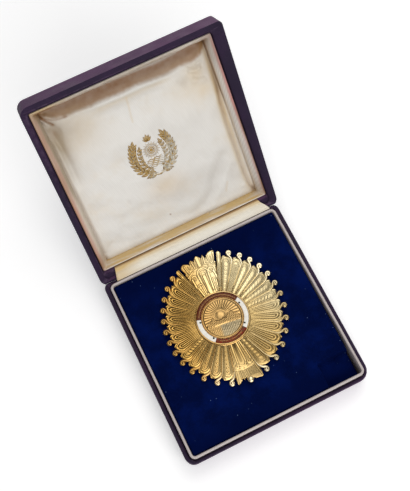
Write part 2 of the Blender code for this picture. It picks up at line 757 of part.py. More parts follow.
def disc_relief(x, y):
    """Height of the disc's cast relief, with x and y in shares of its radius: a sun over hills and water."""
    distance = math.hypot(x, y)
    if distance > 0.86:
        return 0.25 * MM
    sun = max(0.0, 1.0 - math.hypot(x, y - 0.12) / 0.26)
    rays = 0.0
    if y > -0.1:
        rays = 0.16 * (0.5 + 0.5 * math.cos(math.atan2(x, y - 0.12) * 14)) * min(1.0, distance * 2)
    hills = max(0.0, 0.3 - abs(x + 0.42) * 0.8 - max(0.0, y + 0.05)) * 1.2
    hills = max(hills, max(0.0, 0.24 - abs(x - 0.45) * 0.8 - max(0.0, y + 0.08)) * 1.2)
    water = 0.12 * (0.5 + 0.5 * math.cos(y * 34)) if y < -0.3 else 0.0
    return (0.75 * sun + rays + hills + water) * MM


def build_disc(shop):
    """Gold disc with its cast relief, in rings of equal steps."""
    face = MEDALLION_TOP - 1.0 * MM
    sections = []
    steps = 40
    outline = [(DISC_RADIUS * math.sin(math.tau * step / steps), DISC_RADIUS * math.cos(math.tau * step / steps))
               for step in range(steps)]
    sections.append([(STAR_X + x, STAR_Y + y, MEDALLION_SEAT) for x, y in outline])
    for share in (1.0, 0.93, 0.87, 0.78, 0.64, 0.5, 0.36, 0.22, 0.1):
        ring = []
        for x, y in outline:
            bump = disc_relief(x * share / DISC_RADIUS, y * share / DISC_RADIUS)
            ring.append((STAR_X + x * share, STAR_Y + y * share, face + bump * (0.2 if share == 1.0 else 1.0)))
        sections.append(ring)
    disc = shop.part("medallion_disc", loft("medallion_disc", sections), "gold")
    shade(disc.data, 40.0)


def build_enamel(shop):
    """Four domed enamel fields that together ring the disc."""
    top = MEDALLION_TOP - 0.2 * MM
    middle = (ENAMEL_INNER + ENAMEL_OUTER) / 2
    section = (
        (ENAMEL_INNER, MEDALLION_SEAT),
        (ENAMEL_OUTER, MEDALLION_SEAT),
        (ENAMEL_OUTER, top - 0.15 * MM),
        (middle, top),
        (ENAMEL_INNER, top - 0.15 * MM),
    )
    for field in ENAMEL_FIELDS:
        margin = 0.6
        steps = max(4, round((field["last"] - field["first"]) / 9))
        sections = []
        for step in range(steps + 1):
            angle = field["first"] + margin + (field["last"] - field["first"] - 2 * margin) * step / steps
            sections.append([(*star_place(angle, radius), height) for radius, height in section])
        piece = shop.part(field["name"], loft(field["name"], sections), field["colour"])
        shade(piece.data, 40.0)


def build_pin(shop):
    """The brooch pin behind the star: a bar on two posts, as one plain piece."""
    bar = VELVET_TOP + GAP + PIN_RADIUS
    post = dome(PIN_REACH) - STAR_PLATE - GAP
    points = (
        (STAR_X, STAR_Y + PIN_REACH, post),
        (STAR_X, STAR_Y + PIN_REACH, bar + 0.5 * MM),
        (STAR_X, STAR_Y + PIN_REACH - 0.5 * MM, bar),
        (STAR_X, STAR_Y - PIN_REACH + 0.5 * MM, bar),
        (STAR_X, STAR_Y - PIN_REACH, bar + 0.5 * MM),
        (STAR_X, STAR_Y - PIN_REACH, post),
    )
    pin = shop.part("brooch_pin", wire("brooch_pin", points, [PIN_RADIUS] * len(points), 2), "gold")
    shade(pin.data)


def main():
    clear_scene()
    shop = Workshop()
    build_tray(shop)
    build_lip(shop)
    build_velvet(shop)
    build_lid(shop)
    build_lid_lining(shop)
    build_satin_pad(shop)
    build_hinge_strip(shop)
    build_star_plate(shop)
    build_bezel(shop)
    build_disc(shop)
    build_enamel(shop)
    build_pin(shop)


main()
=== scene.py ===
import math

import bmesh
import bpy
import numpy as np
from mathutils import Matrix, Vector, noise


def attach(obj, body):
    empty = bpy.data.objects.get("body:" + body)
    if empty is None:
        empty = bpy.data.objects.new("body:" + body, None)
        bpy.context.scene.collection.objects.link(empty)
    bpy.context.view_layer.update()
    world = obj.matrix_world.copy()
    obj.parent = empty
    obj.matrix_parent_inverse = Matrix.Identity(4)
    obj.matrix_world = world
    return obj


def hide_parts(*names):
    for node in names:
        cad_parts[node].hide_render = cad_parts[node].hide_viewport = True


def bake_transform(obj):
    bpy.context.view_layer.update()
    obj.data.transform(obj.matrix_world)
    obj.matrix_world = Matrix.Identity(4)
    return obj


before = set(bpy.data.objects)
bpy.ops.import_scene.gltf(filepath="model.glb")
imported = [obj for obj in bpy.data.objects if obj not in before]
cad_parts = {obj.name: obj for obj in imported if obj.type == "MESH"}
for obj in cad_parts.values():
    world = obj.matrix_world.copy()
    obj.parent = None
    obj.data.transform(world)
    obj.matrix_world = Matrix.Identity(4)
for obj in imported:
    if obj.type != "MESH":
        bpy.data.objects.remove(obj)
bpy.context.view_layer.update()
mm = 0.001


def newObject(name, data):
    thing = bpy.data.objects.new(name, data)
    bpy.context.scene.collection.objects.link(thing)
    return thing


print("stage: camera")
view = {
    "place": (-0.056182, -0.126919, 0.583495),
    "right": (0.89681, -0.44023, -0.04389),
    "up": (0.42917, 0.84161, 0.32787),
    "back": (-0.10740, -0.31288, 0.94370),
    "lens": 65.12,
}
cameraData = bpy.data.cameras.new("camera")
cameraData.lens = view["lens"]
cameraData.sensor_width = 36.0
cameraData.sensor_fit = "AUTO"
cameraData.clip_start = 0.01
turn = Matrix((view["right"], view["up"], view["back"])).transposed()
camera = newObject("camera", cameraData)
camera.matrix_world = Matrix.Translation(view["place"]) @ turn.to_4x4()
bpy.context.scene.camera = camera


# small tools for meshes

hinge = Vector((0.0, 65.7, 18.15)) * mm
lidAngle = math.radians(131.0)
openLid = Matrix.Translation(hinge) @ Matrix.Rotation(-lidAngle, 4, "X") @ Matrix.Translation(-hinge)


def smooth(value, low, high):
    t = np.clip((np.asarray(value, float) - low) / (high - low), 0.0, 1.0)
    return t * t * (3.0 - 2.0 * t)


def bell(value, centre, width):
    return np.exp(-((np.asarray(value, float) - centre) / width) ** 2)


def noiseSpot(x, y, level):
    return noise.noise(Vector((x, y, level)))


def softNoise(x, y, scale, level):
    flat = [noiseSpot(a * scale, b * scale, level) for a, b in zip(np.ravel(x), np.ravel(y))]
    return np.array(flat).reshape(np.shape(x))


def blot(x, y, centreX, centreY, wide, long):
    return np.exp(-((x - centreX) / wide) ** 2 - ((y - centreY) / long) ** 2)


def lineAway(x, y, line):  # distance to a line of points, and how far along it, from 0 to 1
    nearest, share = np.full(np.shape(x), 1e9), np.zeros(np.shape(x))
    spots = np.asarray(line, float)
    lengths = np.concatenate([[0.0], np.cumsum(np.hypot(*(spots[1:] - spots[:-1]).T))])
    for index, (start, end) in enumerate(zip(spots, spots[1:])):
        step = end - start
        t = np.clip(((x - start[0]) * step[0] + (y - start[1]) * step[1]) / (step @ step + 1e-9), 0.0, 1.0)
        away = np.hypot(x - start[0] - t * step[0], y - start[1] - t * step[1])
        soFar = lengths[index] + t * (lengths[index + 1] - lengths[index])
        share = np.where(away < nearest, soFar / lengths[-1], share)
        nearest = np.minimum(nearest, away)
    return nearest, share


def pointRows(x, y, z):  # grids of x, y and z as one list of points
    return np.stack([x, y, z], -1).reshape(-1, 3).tolist()


def newPiece(name, vertices, faces, material=None, scale=mm):
    mesh = bpy.data.meshes.new(name)
    mesh.from_pydata([tuple(float(c) * scale for c in v) for v in vertices], [], faces)
    mesh.validate()
    if material:
        mesh.materials.append(material)
    return newObject(name, mesh)


def tidyMesh(mesh, sharp=40.0):
    shape = bmesh.new()
    shape.from_mesh(mesh)
    bmesh.ops.remove_doubles(shape, verts=shape.verts, dist=1e-7)
    bmesh.ops.recalc_face_normals(shape, faces=shape.faces)
    shape.to_mesh(mesh)
    shape.free()
    mesh.shade_smooth()
    mesh.set_sharp_from_angle(angle=math.radians(sharp))


def storeValue(mesh, name, values):
    attribute = mesh.attributes.get(name) or mesh.attributes.new(name, "FLOAT", "POINT")
    attribute.data.foreach_set("value", np.asarray(values, np.float32).ravel())


def storeMasks(mesh, masks):
    for name, values in masks.items():
        storeValue(mesh, name, np.clip(values, 0.0, 1.0))


def storePlace(mesh, name, places):
    attribute = mesh.attributes.get(name) or mesh.attributes.new(name, "FLOAT_VECTOR", "POINT")
    attribute.data.foreach_set("vector", np.asarray(places, np.float32).ravel())


def applyModifiers(piece):
    bpy.context.view_layer.update()
    graph = bpy.context.evaluated_depsgraph_get()
    mesh = bpy.data.meshes.new_from_object(piece.evaluated_get(graph), preserve_all_data_layers=True,
                                           depsgraph=graph)
    piece.modifiers.clear()
    piece.data = mesh


def thicken(piece, thickness, offset):
    modifier = piece.modifiers.new("thickness", "SOLIDIFY")
    modifier.thickness = thickness * mm
    modifier.offset = offset
    applyModifiers(piece)


def settle(piece, body, slotName, *nodes):  # last step of every piece that rides on one body
    if nodes:
        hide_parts(*nodes)
    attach(piece, body)


def roundedLoop(left, right, front, back, radius, steps=8, straight=2):
    # counter-clockwise loop of points in mm, evenly many on each side and corner
    def spot(corner, degrees):
        angle = math.radians(corner[2] + degrees)
        return corner[0] + radius * math.cos(angle), corner[1] + radius * math.sin(angle)

    points = []
    corners = ((right - radius, front + radius, -90.0), (right - radius, back - radius, 0.0),
               (left + radius, back - radius, 90.0), (left + radius, front + radius, 180.0))
    for corner, following in zip(corners, corners[1:] + corners[:1]):
        points += [spot(corner, 90.0 * step / steps) for step in range(steps + 1)]
        (x, y), (nextX, nextY) = points[-1], spot(following, 0.0)
        points += [(x + (nextX - x) * t, y + (nextY - y) * t) for t in np.arange(1, straight) / straight]
    return points


def gridFaces(wide, long):  # quads of a grid with its points in rows of long
    at = [[i * long + j for j in range(long)] for i in range(wide)]
    return [(at[i][j], at[i + 1][j], at[i + 1][j + 1], at[i][j + 1]) for i in range(wide - 1)
            for j in range(long - 1)]


def gridBorder(wide, long):  # the points once round that grid
    border = [i * long for i in range(wide)] + [(wide - 1) * long + j for j in range(1, long)]
    return border + [i * long + long - 1 for i in range(wide - 2, -1, -1)] + list(range(long - 2, 0, -1))


def closeGrid(points, faces, border, level):  # walls from the border to a flat back at that level
    first, count = len(points), len(border)
    points += [(points[k][0], points[k][1], level) for k in border]
    for k in range(count):
        after = (k + 1) % count
        faces.append((border[k], border[after], first + after, first + k))
    faces.append([first + k for k in range(count)])


def ringFaces(rings, count, closed=True):  # closed also joins the last ring to the first
    faces = []
    for level in range(rings - 1):
        for index in range(count):
            following = (index + 1) % count
            a, b = level * count + index, level * count + following
            faces.append((a, b, b + count, a + count))
    if closed:
        last = (rings - 1) * count
        faces += [(index, (index + 1) % count, last + (index + 1) % count, last + index)
                  for index in range(count)]
    return faces


# small tools for node trees

def fill(tree, node, inputs):  # links each socket given and stores each plain value
    for key, value in inputs.items():
        if isinstance(value, bpy.types.NodeSocket):
            tree.links.new(value, node.inputs[key])
        else:
            node.inputs[key].default_value = value
    return node


def put(tree, kind, inputs=None, **settings):
    node = tree.nodes.new(kind)
    for name, value in settings.items():
        setattr(node, name, value)
    return fill(tree, node, inputs or {})


def calc(tree, operation, *values, clamp=False):
    return put(tree, "ShaderNodeMath", dict(enumerate(values)), operation=operation, use_clamp=clamp).outputs[0]


def spread(tree, value, low, high, newLow=0.0, newHigh=1.0):
    inputs = {"Value": value, "From Min": low, "From Max": high, "To Min": newLow, "To Max": newHigh}
    return put(tree, "ShaderNodeMapRange", inputs, interpolation_type="SMOOTHSTEP").outputs["Result"]


def times(tree, first, second, clamp=False):
    return calc(tree, "MULTIPLY", first, second, clamp=clamp)


def axesOf(tree, vector):
    return put(tree, "ShaderNodeSeparateXYZ", {0: vector}).outputs


def blendColours(tree, share, first, second):
    return put(tree, "ShaderNodeMix", {0: share, 6: first, 7: second}, data_type="RGBA").outputs[2]


def layer(tree, colour, tone, mask, share):
    return blendColours(tree, times(tree, mask, share), colour, tone)


def noiseAt(tree, place, scale, detail=3.0, roughness=0.55):
    inputs = {"Vector": place, "Scale": scale, "Detail": detail, "Roughness": roughness}
    return put(tree, "ShaderNodeTexNoise", inputs).outputs["Fac"]


def objectPlace(tree, scale=1000.0):  # object coordinates in mm
    source = put(tree, "ShaderNodeTexCoord").outputs["Object"]
    return put(tree, "ShaderNodeVectorMath", {0: source, "Scale": scale}, operation="SCALE").outputs[0]


def attributeOf(tree, name, output="Fac"):
    return put(tree, "ShaderNodeAttribute", attribute_name=name).outputs[output]


def newGroup(name, inputs, outputs, kindOfTree="ShaderNodeTree"):
    tree = bpy.data.node_groups.new(name, kindOfTree)
    for label, kind, value in inputs:
        socket = tree.interface.new_socket(name=label, in_out="INPUT", socket_type=kind)
        if value is not None:
            socket.default_value = value
    for label, kind in outputs:
        tree.interface.new_socket(name=label, in_out="OUTPUT", socket_type=kind)
    return tree, tree.nodes.new("NodeGroupInput").outputs, tree.nodes.new("NodeGroupOutput")


def useGroup(tree, group, inputs):
    return put(tree, "ShaderNodeGroup", inputs, node_tree=group).outputs


def newMaterial(name, settings):
    material = bpy.data.materials.new(name)
    material.use_nodes = True
    tree = material.node_tree
    return material, tree, fill(tree, tree.nodes["Principled BSDF"], settings)


def bumpInto(tree, shader, height, strength, distance):
    inputs = {"Height": height, "Strength": strength, "Distance": distance}
    fill(tree, shader, {"Normal": put(tree, "ShaderNodeBump", inputs).outputs[0]})


print("stage: shared effects")
floatIn, vectorIn = "NodeSocketFloat", "NodeSocketVector"

# pebbled skin of the covering: height of its grain and a mask of its hollows
grainGroup, given, out = newGroup("pebbledGrain", [("Place", vectorIn, None), ("Cells per mm", floatIn, 2.2)],
                                  [("Height", floatIn), ("Hollows", floatIn)])
wander = put(grainGroup, "ShaderNodeTexNoise",
             {"Vector": given["Place"], "Scale": 0.8, "Detail": 2.0}).outputs["Color"]
bent = put(grainGroup, "ShaderNodeVectorMath", {0: wander, 1: given["Place"]}, operation="ADD").outputs[0]
cells = put(grainGroup, "ShaderNodeTexVoronoi", {"Vector": bent, "Scale": given["Cells per mm"]},
            feature="DISTANCE_TO_EDGE").outputs["Distance"]
pebble = spread(grainGroup, cells, 0.0, 0.30)
fine = noiseAt(grainGroup, given["Place"], 5.0, 3.0)
fill(grainGroup, out, {"Height": calc(grainGroup, "MULTIPLY_ADD", fine, 0.35, pebble),
                       "Hollows": calc(grainGroup, "SUBTRACT", 1.0, pebble)})

# woven silk: fine ribs along one direction with uneven threads
weaveGroup, given, out = newGroup(
    "ribbedWeave", [("Place", vectorIn, None), ("Ribs per mm", floatIn, 2.0), ("Unevenness", floatIn, 0.5)],
    [("Height", floatIn), ("Threads", floatIn)])
parts = axesOf(weaveGroup, given["Place"])
drift = noiseAt(weaveGroup, given["Place"], 0.05, 2.0)
across = calc(weaveGroup, "MULTIPLY_ADD", drift, 1.5, parts["X"])
rib = calc(weaveGroup, "SINE", times(weaveGroup, times(weaveGroup, across, given["Ribs per mm"]), math.tau))
crossRibs = times(weaveGroup, given["Ribs per mm"], 9.0)
cross = calc(weaveGroup, "SINE", times(weaveGroup, parts["Y"], crossRibs))
stretched = put(weaveGroup, "ShaderNodeVectorMath", {0: given["Place"], 1: (3.0, 0.12, 1.0)},
                operation="MULTIPLY").outputs[0]
slub = noiseAt(weaveGroup, stretched, 0.9, 2.0)
height = times(weaveGroup, calc(weaveGroup, "MULTIPLY_ADD", cross, 0.25, rib), 0.5)
fill(weaveGroup, out, {"Height": calc(weaveGroup, "MULTIPLY_ADD", slub, given["Unevenness"], height),
                       "Threads": slub})

# age: soft stains and small foxing spots
ageGroup, given, out = newGroup(
    "ageStains", [("Place", vectorIn, None), ("Patch size mm", floatIn, 30.0), ("Amount", floatIn, 0.5)],
    [("Stain", floatIn), ("Spots", floatIn)])
patch = noiseAt(ageGroup, given["Place"], calc(ageGroup, "DIVIDE", 1.0, given["Patch size mm"]), 4.0, 0.6)
dots = noiseAt(ageGroup, given["Place"], 0.9, 2.0)
fill(ageGroup, out, {"Stain": times(ageGroup, spread(ageGroup, patch, 0.48, 0.75), given["Amount"]),
                     "Spots": times(ageGroup, spread(ageGroup, dots, 0.70, 0.80), given["Amount"])})

# fine scratches and smears in a polish: roughness change
polishGroup, given, out = newGroup(
    "handling", [("Place", vectorIn, None), ("Roughness", floatIn, 0.3), ("Change", floatIn, 0.15)],
    [("Roughness", floatIn), ("Height", floatIn)])
smear = calc(polishGroup, "SUBTRACT", noiseAt(polishGroup, given["Place"], 0.35, 5.0, 0.6), 0.5)
rougher = calc(polishGroup, "ADD", given["Roughness"], times(polishGroup, smear, given["Change"]))
fill(polishGroup, out, {"Roughness": rougher, "Height": noiseAt(polishGroup, given["Place"], 3.0, 3.0)})


print("stage: materials")

leatherLook = {
    "base": (0.033, 0.019, 0.045, 1.0), "light": (0.105, 0.048, 0.122, 1.0), "worn": (0.17, 0.12, 0.18, 1.0),
    # on this line: a lighter purple painted as light on the faces that look to the front, and a dark one painted
    # as shade on the rim faces
    "paintedFrontLight": (0.150, 0.066, 0.150, 1.0), "edge": (0.016, 0.011, 0.030, 1.0),
    "hollows": (0.012, 0.008, 0.016, 1.0),
    "roughness": 0.50, "grainDepth": 0.10 * mm, "cellsPerMm": 1.5,
}


def leatheretteMaterial(name, look):
    material, tree, shader = newMaterial(name, {"Roughness": look["roughness"], "Specular IOR Level": 0.10})
    place = objectPlace(tree)
    grain = useGroup(tree, grainGroup, {"Place": place, "Cells per mm": look["cellsPerMm"]})
    cloud = spread(tree, noiseAt(tree, place, 0.04, 4.0), 0.35, 0.7)
    colour = blendColours(tree, times(tree, cloud, 0.45), look["base"], look["light"])
    colour = layer(tree, colour, look["hollows"], grain["Hollows"], 0.5)
    patchy = spread(tree, noiseAt(tree, place, 0.09, 4.0), 0.30, 0.70, 0.65, 1.0)
    # painted light: the faces that look to the front are lighter, in patches and less towards the left
    colour = blendColours(tree, times(tree, attributeOf(tree, "paintedFrontLight"), patchy), colour, look["paintedFrontLight"])
    # painted shade: the rim faces, up on the tray and down in the closed lid, are darker
    colour = layer(tree, colour, look["edge"], attributeOf(tree, "edge"), 0.50)
    rubbed = spread(tree, noiseAt(tree, place, 0.35, 4.0), 0.35, 0.65)
    rubbed = times(tree, attributeOf(tree, "wear"), rubbed, clamp=True)
    colour = layer(tree, colour, look["worn"], rubbed, 0.45)
    roughness = spread(tree, cloud, 0.0, 1.0, look["roughness"] - 0.05, look["roughness"] + 0.12)
    fill(tree, shader, {"Base Color": colour, "Roughness": roughness})
    bumpInto(tree, shader, grain["Height"], 0.6, look["grainDepth"])
    return material


leatherette = leatheretteMaterial("purpleLeatherette", leatherLook)

silkLook = {
    "base": (0.815, 0.793, 0.748, 1.0), "ochreStainAndShade": (0.66, 0.46, 0.190, 1.0), "brownShadeAndStain": (0.235, 0.110, 0.038, 1.0),
    "shade": (0.34, 0.29, 0.235, 1.0), "pink": (0.56, 0.22, 0.19, 1.0), "foxing": (0.42, 0.28, 0.16, 1.0),
    "threads": (0.56, 0.52, 0.46, 1.0), "roughness": 0.34, "ribsPerMm": 0.95, "threadLean": -0.28,
}


def silkMaterial(name, look, age=0.55, tint=None, ribs=0.07):
    # cream satin: woven ribs in the cloth's own place, age stains, and masks for tints and for painted shade and
    # shadow in folds, grooves, corners and below the lid's walls
    material, tree, shader = newMaterial(name, {
        "Sheen Weight": 0.05, "Sheen Roughness": 0.4, "Specular IOR Level": 0.42, "Anisotropic": 0.5})
    place = attributeOf(tree, "silkPlace", "Vector")
    parts = axesOf(tree, place)
    leanX = calc(tree, "MULTIPLY_ADD", parts["Y"], look["threadLean"], parts["X"])
    leaning = put(tree, "ShaderNodeCombineXYZ", {0: leanX, 1: parts["Y"], 2: parts["Z"]}).outputs[0]
    weave = useGroup(tree, weaveGroup, {"Place": leaning, "Ribs per mm": look["ribsPerMm"], "Unevenness": 0.6})
    stains = useGroup(tree, ageGroup, {"Place": place, "Patch size mm": 24.0, "Amount": age})
    thread = spread(tree, weave["Threads"], 0.30, 0.72)
    colour = blendColours(tree, times(tree, thread, 0.16), tint or look["base"], look["threads"])
    colour = layer(tree, colour, look["ochreStainAndShade"], stains["Stain"], 0.32)
    colour = layer(tree, colour, look["foxing"], stains["Spots"], 0.40)
    ribShade = times(tree, spread(tree, weave["Height"], 0.9, -0.3), ribs, clamp=True)
    colour = blendColours(tree, ribShade, colour, look["shade"])
    mottled = spread(tree, noiseAt(tree, place, 0.22, 2.0, 0.4), 0.25, 0.75, 0.93, 1.04)
    # the masks paint tints and stains, and painted shade and shadow: shade mostly, brown and ochre in large part
    for mask in ("pink", "shade", "ochreStainAndShade", "brownShadeAndStain"):
        share = times(tree, attributeOf(tree, mask), mottled, clamp=True)
        colour = blendColours(tree, share, colour, look[mask])
    roughness = spread(tree, thread, 0.0, 1.0, look["roughness"] - 0.05, look["roughness"] + 0.08)
    fill(tree, shader, {"Base Color": colour, "Roughness": roughness})
    bumpInto(tree, shader, weave["Height"], 0.35, 0.05 * mm)
    return material


velvetLook = {
    "deep": (0.0003, 0.0030, 0.033, 1.0), "nap": (0.0006, 0.0062, 0.070, 1.0),
    "tips": (0.003, 0.012, 0.090, 1.0),
    "lint": (0.10, 0.15, 0.30, 1.0), "sheen": (0.02, 0.09, 0.80, 1.0), "pilesPerMm": 3.5,
}


def velvetMaterial(name, look):
    material, tree, shader = newMaterial(name, {
        "Roughness": 0.95, "Specular IOR Level": 0.02,
        "Sheen Weight": 0.08, "Sheen Roughness": 0.35, "Sheen Tint": look["sheen"]})
    place = objectPlace(tree)
    brushed = spread(tree, noiseAt(tree, place, 0.06, 5.0, 0.62), 0.38, 0.66)
    pile = noiseAt(tree, place, look["pilesPerMm"], 2.0, 0.7)
    y = axesOf(tree, place)["Y"]
    # painted shadow: darker towards the back, under the open lid, and towards the front
    shadowedEnds = calc(tree, "MAXIMUM", spread(tree, y, 30.0, 60.0), spread(tree, y, -42.0, -60.0))
    brushed = times(tree, brushed, calc(tree, "MULTIPLY_ADD", shadowedEnds, -0.85, 1.0), clamp=True)
    colour = blendColours(tree, brushed, look["deep"], look["nap"])
    tipShare = times(tree, spread(tree, pile, 0.45, 0.75), calc(tree, "MULTIPLY_ADD", shadowedEnds, -0.3, 0.55))
    colour = blendColours(tree, tipShare, colour, look["tips"])
    # a few lint specks: small dots in some cells of a sparse pattern
    cells = put(tree, "ShaderNodeTexVoronoi", {"Vector": place, "Scale": 0.26}).outputs
    few = calc(tree, "GREATER_THAN", put(tree, "ShaderNodeSeparateColor", {0: cells["Color"]}).outputs[0], 0.80)
    speck = times(tree, few, spread(tree, cells["Distance"], 0.085, 0.045))
    colour = blendColours(tree, speck, colour, look["lint"])
    fill(tree, shader, {"Base Color": colour})
    bumpInto(tree, shader, pile, 0.7, 0.25 * mm)
    return material


velvet = velvetMaterial("navyVelvet", velvetLook)

goldLook = {
    "pale": (0.94, 0.78, 0.44, 1.0), "middle": (0.88, 0.63, 0.26, 1.0), "warm": (0.85, 0.50, 0.125, 1.0),
    "tarnishAndShade": (0.030, 0.014, 0.004, 1.0), "copper": (0.56, 0.29, 0.10, 1.0), "coolReflection": (0.42, 0.40, 0.28, 1.0),
    "roughness": 0.21, "starX": -4.4, "starY": 8.4,
    # painted highlights, warm reflections and shade on each side of the star: bearing, where it starts and is
    # full in mm along that bearing, share
    "paintedHighlightAt": ((50.0, 8.0, 29.0, 1.0), (206.0, 20.0, 34.0, 0.68)),
    "warmReflectionAt": ((288.0, -2.0, 26.0, 0.95), (188.0, 8.0, 30.0, 0.45)),
    "paintedShadeAt": ((118.0, 13.0, 26.0, 0.36),), "medallionShadowAt": ((270.0, 19.5, 24.0, 0.34),),
    "litHollowsAt": ((46.0, 12.0, 26.0, 0.42), (208.0, 14.0, 32.0, 0.52), (184.0, 31.0, 38.0, 0.45),
                (282.0, 6.0, 20.0, -0.45)),
}
# the curls: painted highlights at the upper right and bottom, a painted warm reflection and shade on the left,
# painted shade on the right
wireLook = dict(
    goldLook, pale=(1.0, 0.90, 0.64, 1.0), middle=(0.94, 0.73, 0.38, 1.0), warm=(0.62, 0.36, 0.10, 1.0),
    roughness=0.20,
    paintedHighlightAt=((26.0, 14.0, 32.0, 0.85), (192.0, 26.0, 38.0, 0.90)), medallionShadowAt=(), paleFrom=(35.0, 40.0),
    warmReflectionAt=((288.0, 0.0, 24.0, 1.0), (212.0, 24.0, 40.0, 0.35)),
    paintedShadeAt=((272.0, 20.0, 40.0, 0.34), (122.0, 20.0, 36.0, 0.52)))


def towards(tree, x, y, bearing, low, high):  # grows to one side of the star, bearing clockwise from +Y
    turned = math.radians(bearing)
    along = calc(tree, "ADD", times(tree, x, math.sin(turned)), times(tree, y, math.cos(turned)))
    return spread(tree, along, low, high)


def goldMaterial(name, look, hollowName=None, coolName=None, copper=0.0, roughness=None):
    material, tree, shader = newMaterial(name, {"Metallic": 1.0})
    place = objectPlace(tree)
    axis = axesOf(tree, place)
    x = calc(tree, "SUBTRACT", axis["X"], look["starX"])
    y = calc(tree, "SUBTRACT", axis["Y"], look["starY"])
    colour = look["middle"]
    away = calc(tree, "SQRT", calc(tree, "ADD", times(tree, x, x), times(tree, y, y)))
    # painted highlights and warm reflections, by the side of the star
    for tone, places in (("pale", look["paintedHighlightAt"]), ("warm", look["warmReflectionAt"])):
        for bearing, low, high, share in places:
            mask = times(tree, towards(tree, x, y, bearing, low, high), share)
            if tone == "pale" and "paleFrom" in look:
                mask = times(tree, mask, spread(tree, away, *look["paleFrom"]))
            colour = blendColours(tree, mask, colour, look[tone])
    if copper:
        colour = blendColours(tree, copper, colour, look["copper"])
    # painted reflection: a cool grey-green tone where the mask is set
    if coolName:
        colour = blendColours(tree, attributeOf(tree, coolName), colour, look["coolReflection"])
    # painted shade on sides of the star away from the lamps
    for bearing, low, high, share in look["paintedShadeAt"]:
        mask = times(tree, towards(tree, x, y, bearing, low, high), share)
        colour = blendColours(tree, mask, colour, look["tarnishAndShade"])
    for bearing, low, high, share in look["medallionShadowAt"]:  # painted shadow, only near the medallion
        mask = times(tree, towards(tree, x, y, bearing, low, high), spread(tree, away, 34.0, 25.0, 0.0, share))
        colour = blendColours(tree, mask, colour, look["tarnishAndShade"])
    handling = useGroup(tree, polishGroup, {
        "Place": place, "Roughness": roughness or look["roughness"], "Change": 0.12})
    patina = spread(tree, noiseAt(tree, place, 0.20, 3.0, 0.5), 0.45, 0.75)
    colour = layer(tree, colour, look["tarnishAndShade"], patina, 0.13)
    if hollowName:
        hollow = times(tree, attributeOf(tree, hollowName), 1.02, clamp=True)
        # the patina in the hollows is painted lighter on the lit sides, and darker on the left where the share
        # is negative
        for bearing, low, high, share in look["litHollowsAt"]:
            remaining = calc(tree, "MULTIPLY_ADD", towards(tree, x, y, bearing, low, high), -share, 1.0)
            hollow = times(tree, hollow, remaining, clamp=True)
        colour = blendColours(tree, hollow, colour, look["tarnishAndShade"])
    fill(tree, shader, {"Base Color": colour, "Roughness": handling["Roughness"]})
    bumpInto(tree, shader, handling["Height"], 0.12, 0.05 * mm)
    return material


chasedGold = goldMaterial("chasedGold", goldLook, "hollow")
wireGold = goldMaterial("curledWireGold", wireLook)
bezelGold = goldMaterial("bezelGold", goldLook, copper=0.25, roughness=0.24)
grainGold = goldMaterial("grainGold", goldLook, copper=0.55, roughness=0.30)
discGold = goldMaterial("struckDiscGold", goldLook, "hollow", "coolReflection", copper=0.52, roughness=0.26)
plainGold = goldMaterial("plainPinGold", goldLook, roughness=0.35)


# the sunburst star

star = {
    "centre": (-4.4, 8.4), "inner": 14.0, "edgeHeight": 22.0, "rise": 3.1, "plate": 1.2,
    "meanReach": 41.9, "shift": 2.4, "shiftTowards": 58.0, "oval": 2.4, "ovalLean": 9.0,
    "petals": 13, "stemOffset": 3.8, "unitReach": 42.0, "curlLow": 21.45, "curlSink": 0.25, "curlBlend": 0.3,
    "upperPanel": (-13.7, 20.0), "lowerPanel": (169.4, 194.6), "halfPetal": 4.9,
}
petalRows = [  # looks: 0 beads, 1 square pits, 2 slanted bars, 3 a fine line with notches
    {"name": "right", "first": 31.3, "last": 165.6, "bow": -6.8, "turn": 1, "covers": ["star_plate"],
     "ends": (star["upperPanel"][1], star["lowerPanel"][0]), "looks": [1, 3, 2, 2, 2, 2, 2, 3, 3, 3, 3, 3, 1]},
    {"name": "left", "first": -23.7, "last": -161.6, "bow": 4.4, "turn": -1, "covers": [],
     "ends": (star["upperPanel"][0], star["lowerPanel"][1] - 360.0),
     "looks": [3, 3, 3, 3, 3, 3, 3, 3, 2, 0, 0, 0, 0]},
]


def aroundStar(bearing, away):  # x and y in mm, bearing clockwise from +Y
    return star["centre"][0] + away * math.sin(bearing), star["centre"][1] + away * math.cos(bearing)


def curlAngle(row, index):
    t = index / (star["petals"] - 1)
    return row["first"] + (row["last"] - row["first"]) * t + row["bow"] * math.sin(math.pi * t)


centreInputs = [("Centre X", star["centre"][0] * mm), ("Centre Y", star["centre"][1] * mm)]
ringInputs = centreInputs + [
    ("Inner radius", star["inner"] * mm), ("Edge height", star["edgeHeight"] * mm), ("Rise", star["rise"] * mm),
    ("Mean reach", star["meanReach"] * mm), ("Shift", star["shift"] * mm),
    ("Shift towards", star["shiftTowards"]), ("Oval", star["oval"] * mm), ("Oval lean", star["ovalLean"])]


def newTree(name, sizes, *others):
    geometry = "NodeSocketGeometry"
    inputs = [("Geometry", geometry, None)] + [(label, floatIn, value) for label, value in sizes]
    inputs += [(label, kind, None) for label, kind in others + (("Material", "NodeSocketMaterial"),)]
    return newGroup(name, inputs, [("Geometry", geometry)], "GeometryNodeTree")


def grow(name, baseMesh, tree, values):
    # runs a tree on a mesh and keeps the result as a plain mesh at the origin
    piece = newObject(name, baseMesh)
    modifier = piece.modifiers.new(tree.name, "NODES")
    modifier.node_group = tree
    for socket in tree.interface.items_tree:
        if socket.item_type == "SOCKET" and socket.in_out == "INPUT" and socket.name in values:
            modifier[socket.identifier] = values[socket.name]
    applyModifiers(piece)
    piece.data.name = name
    return piece


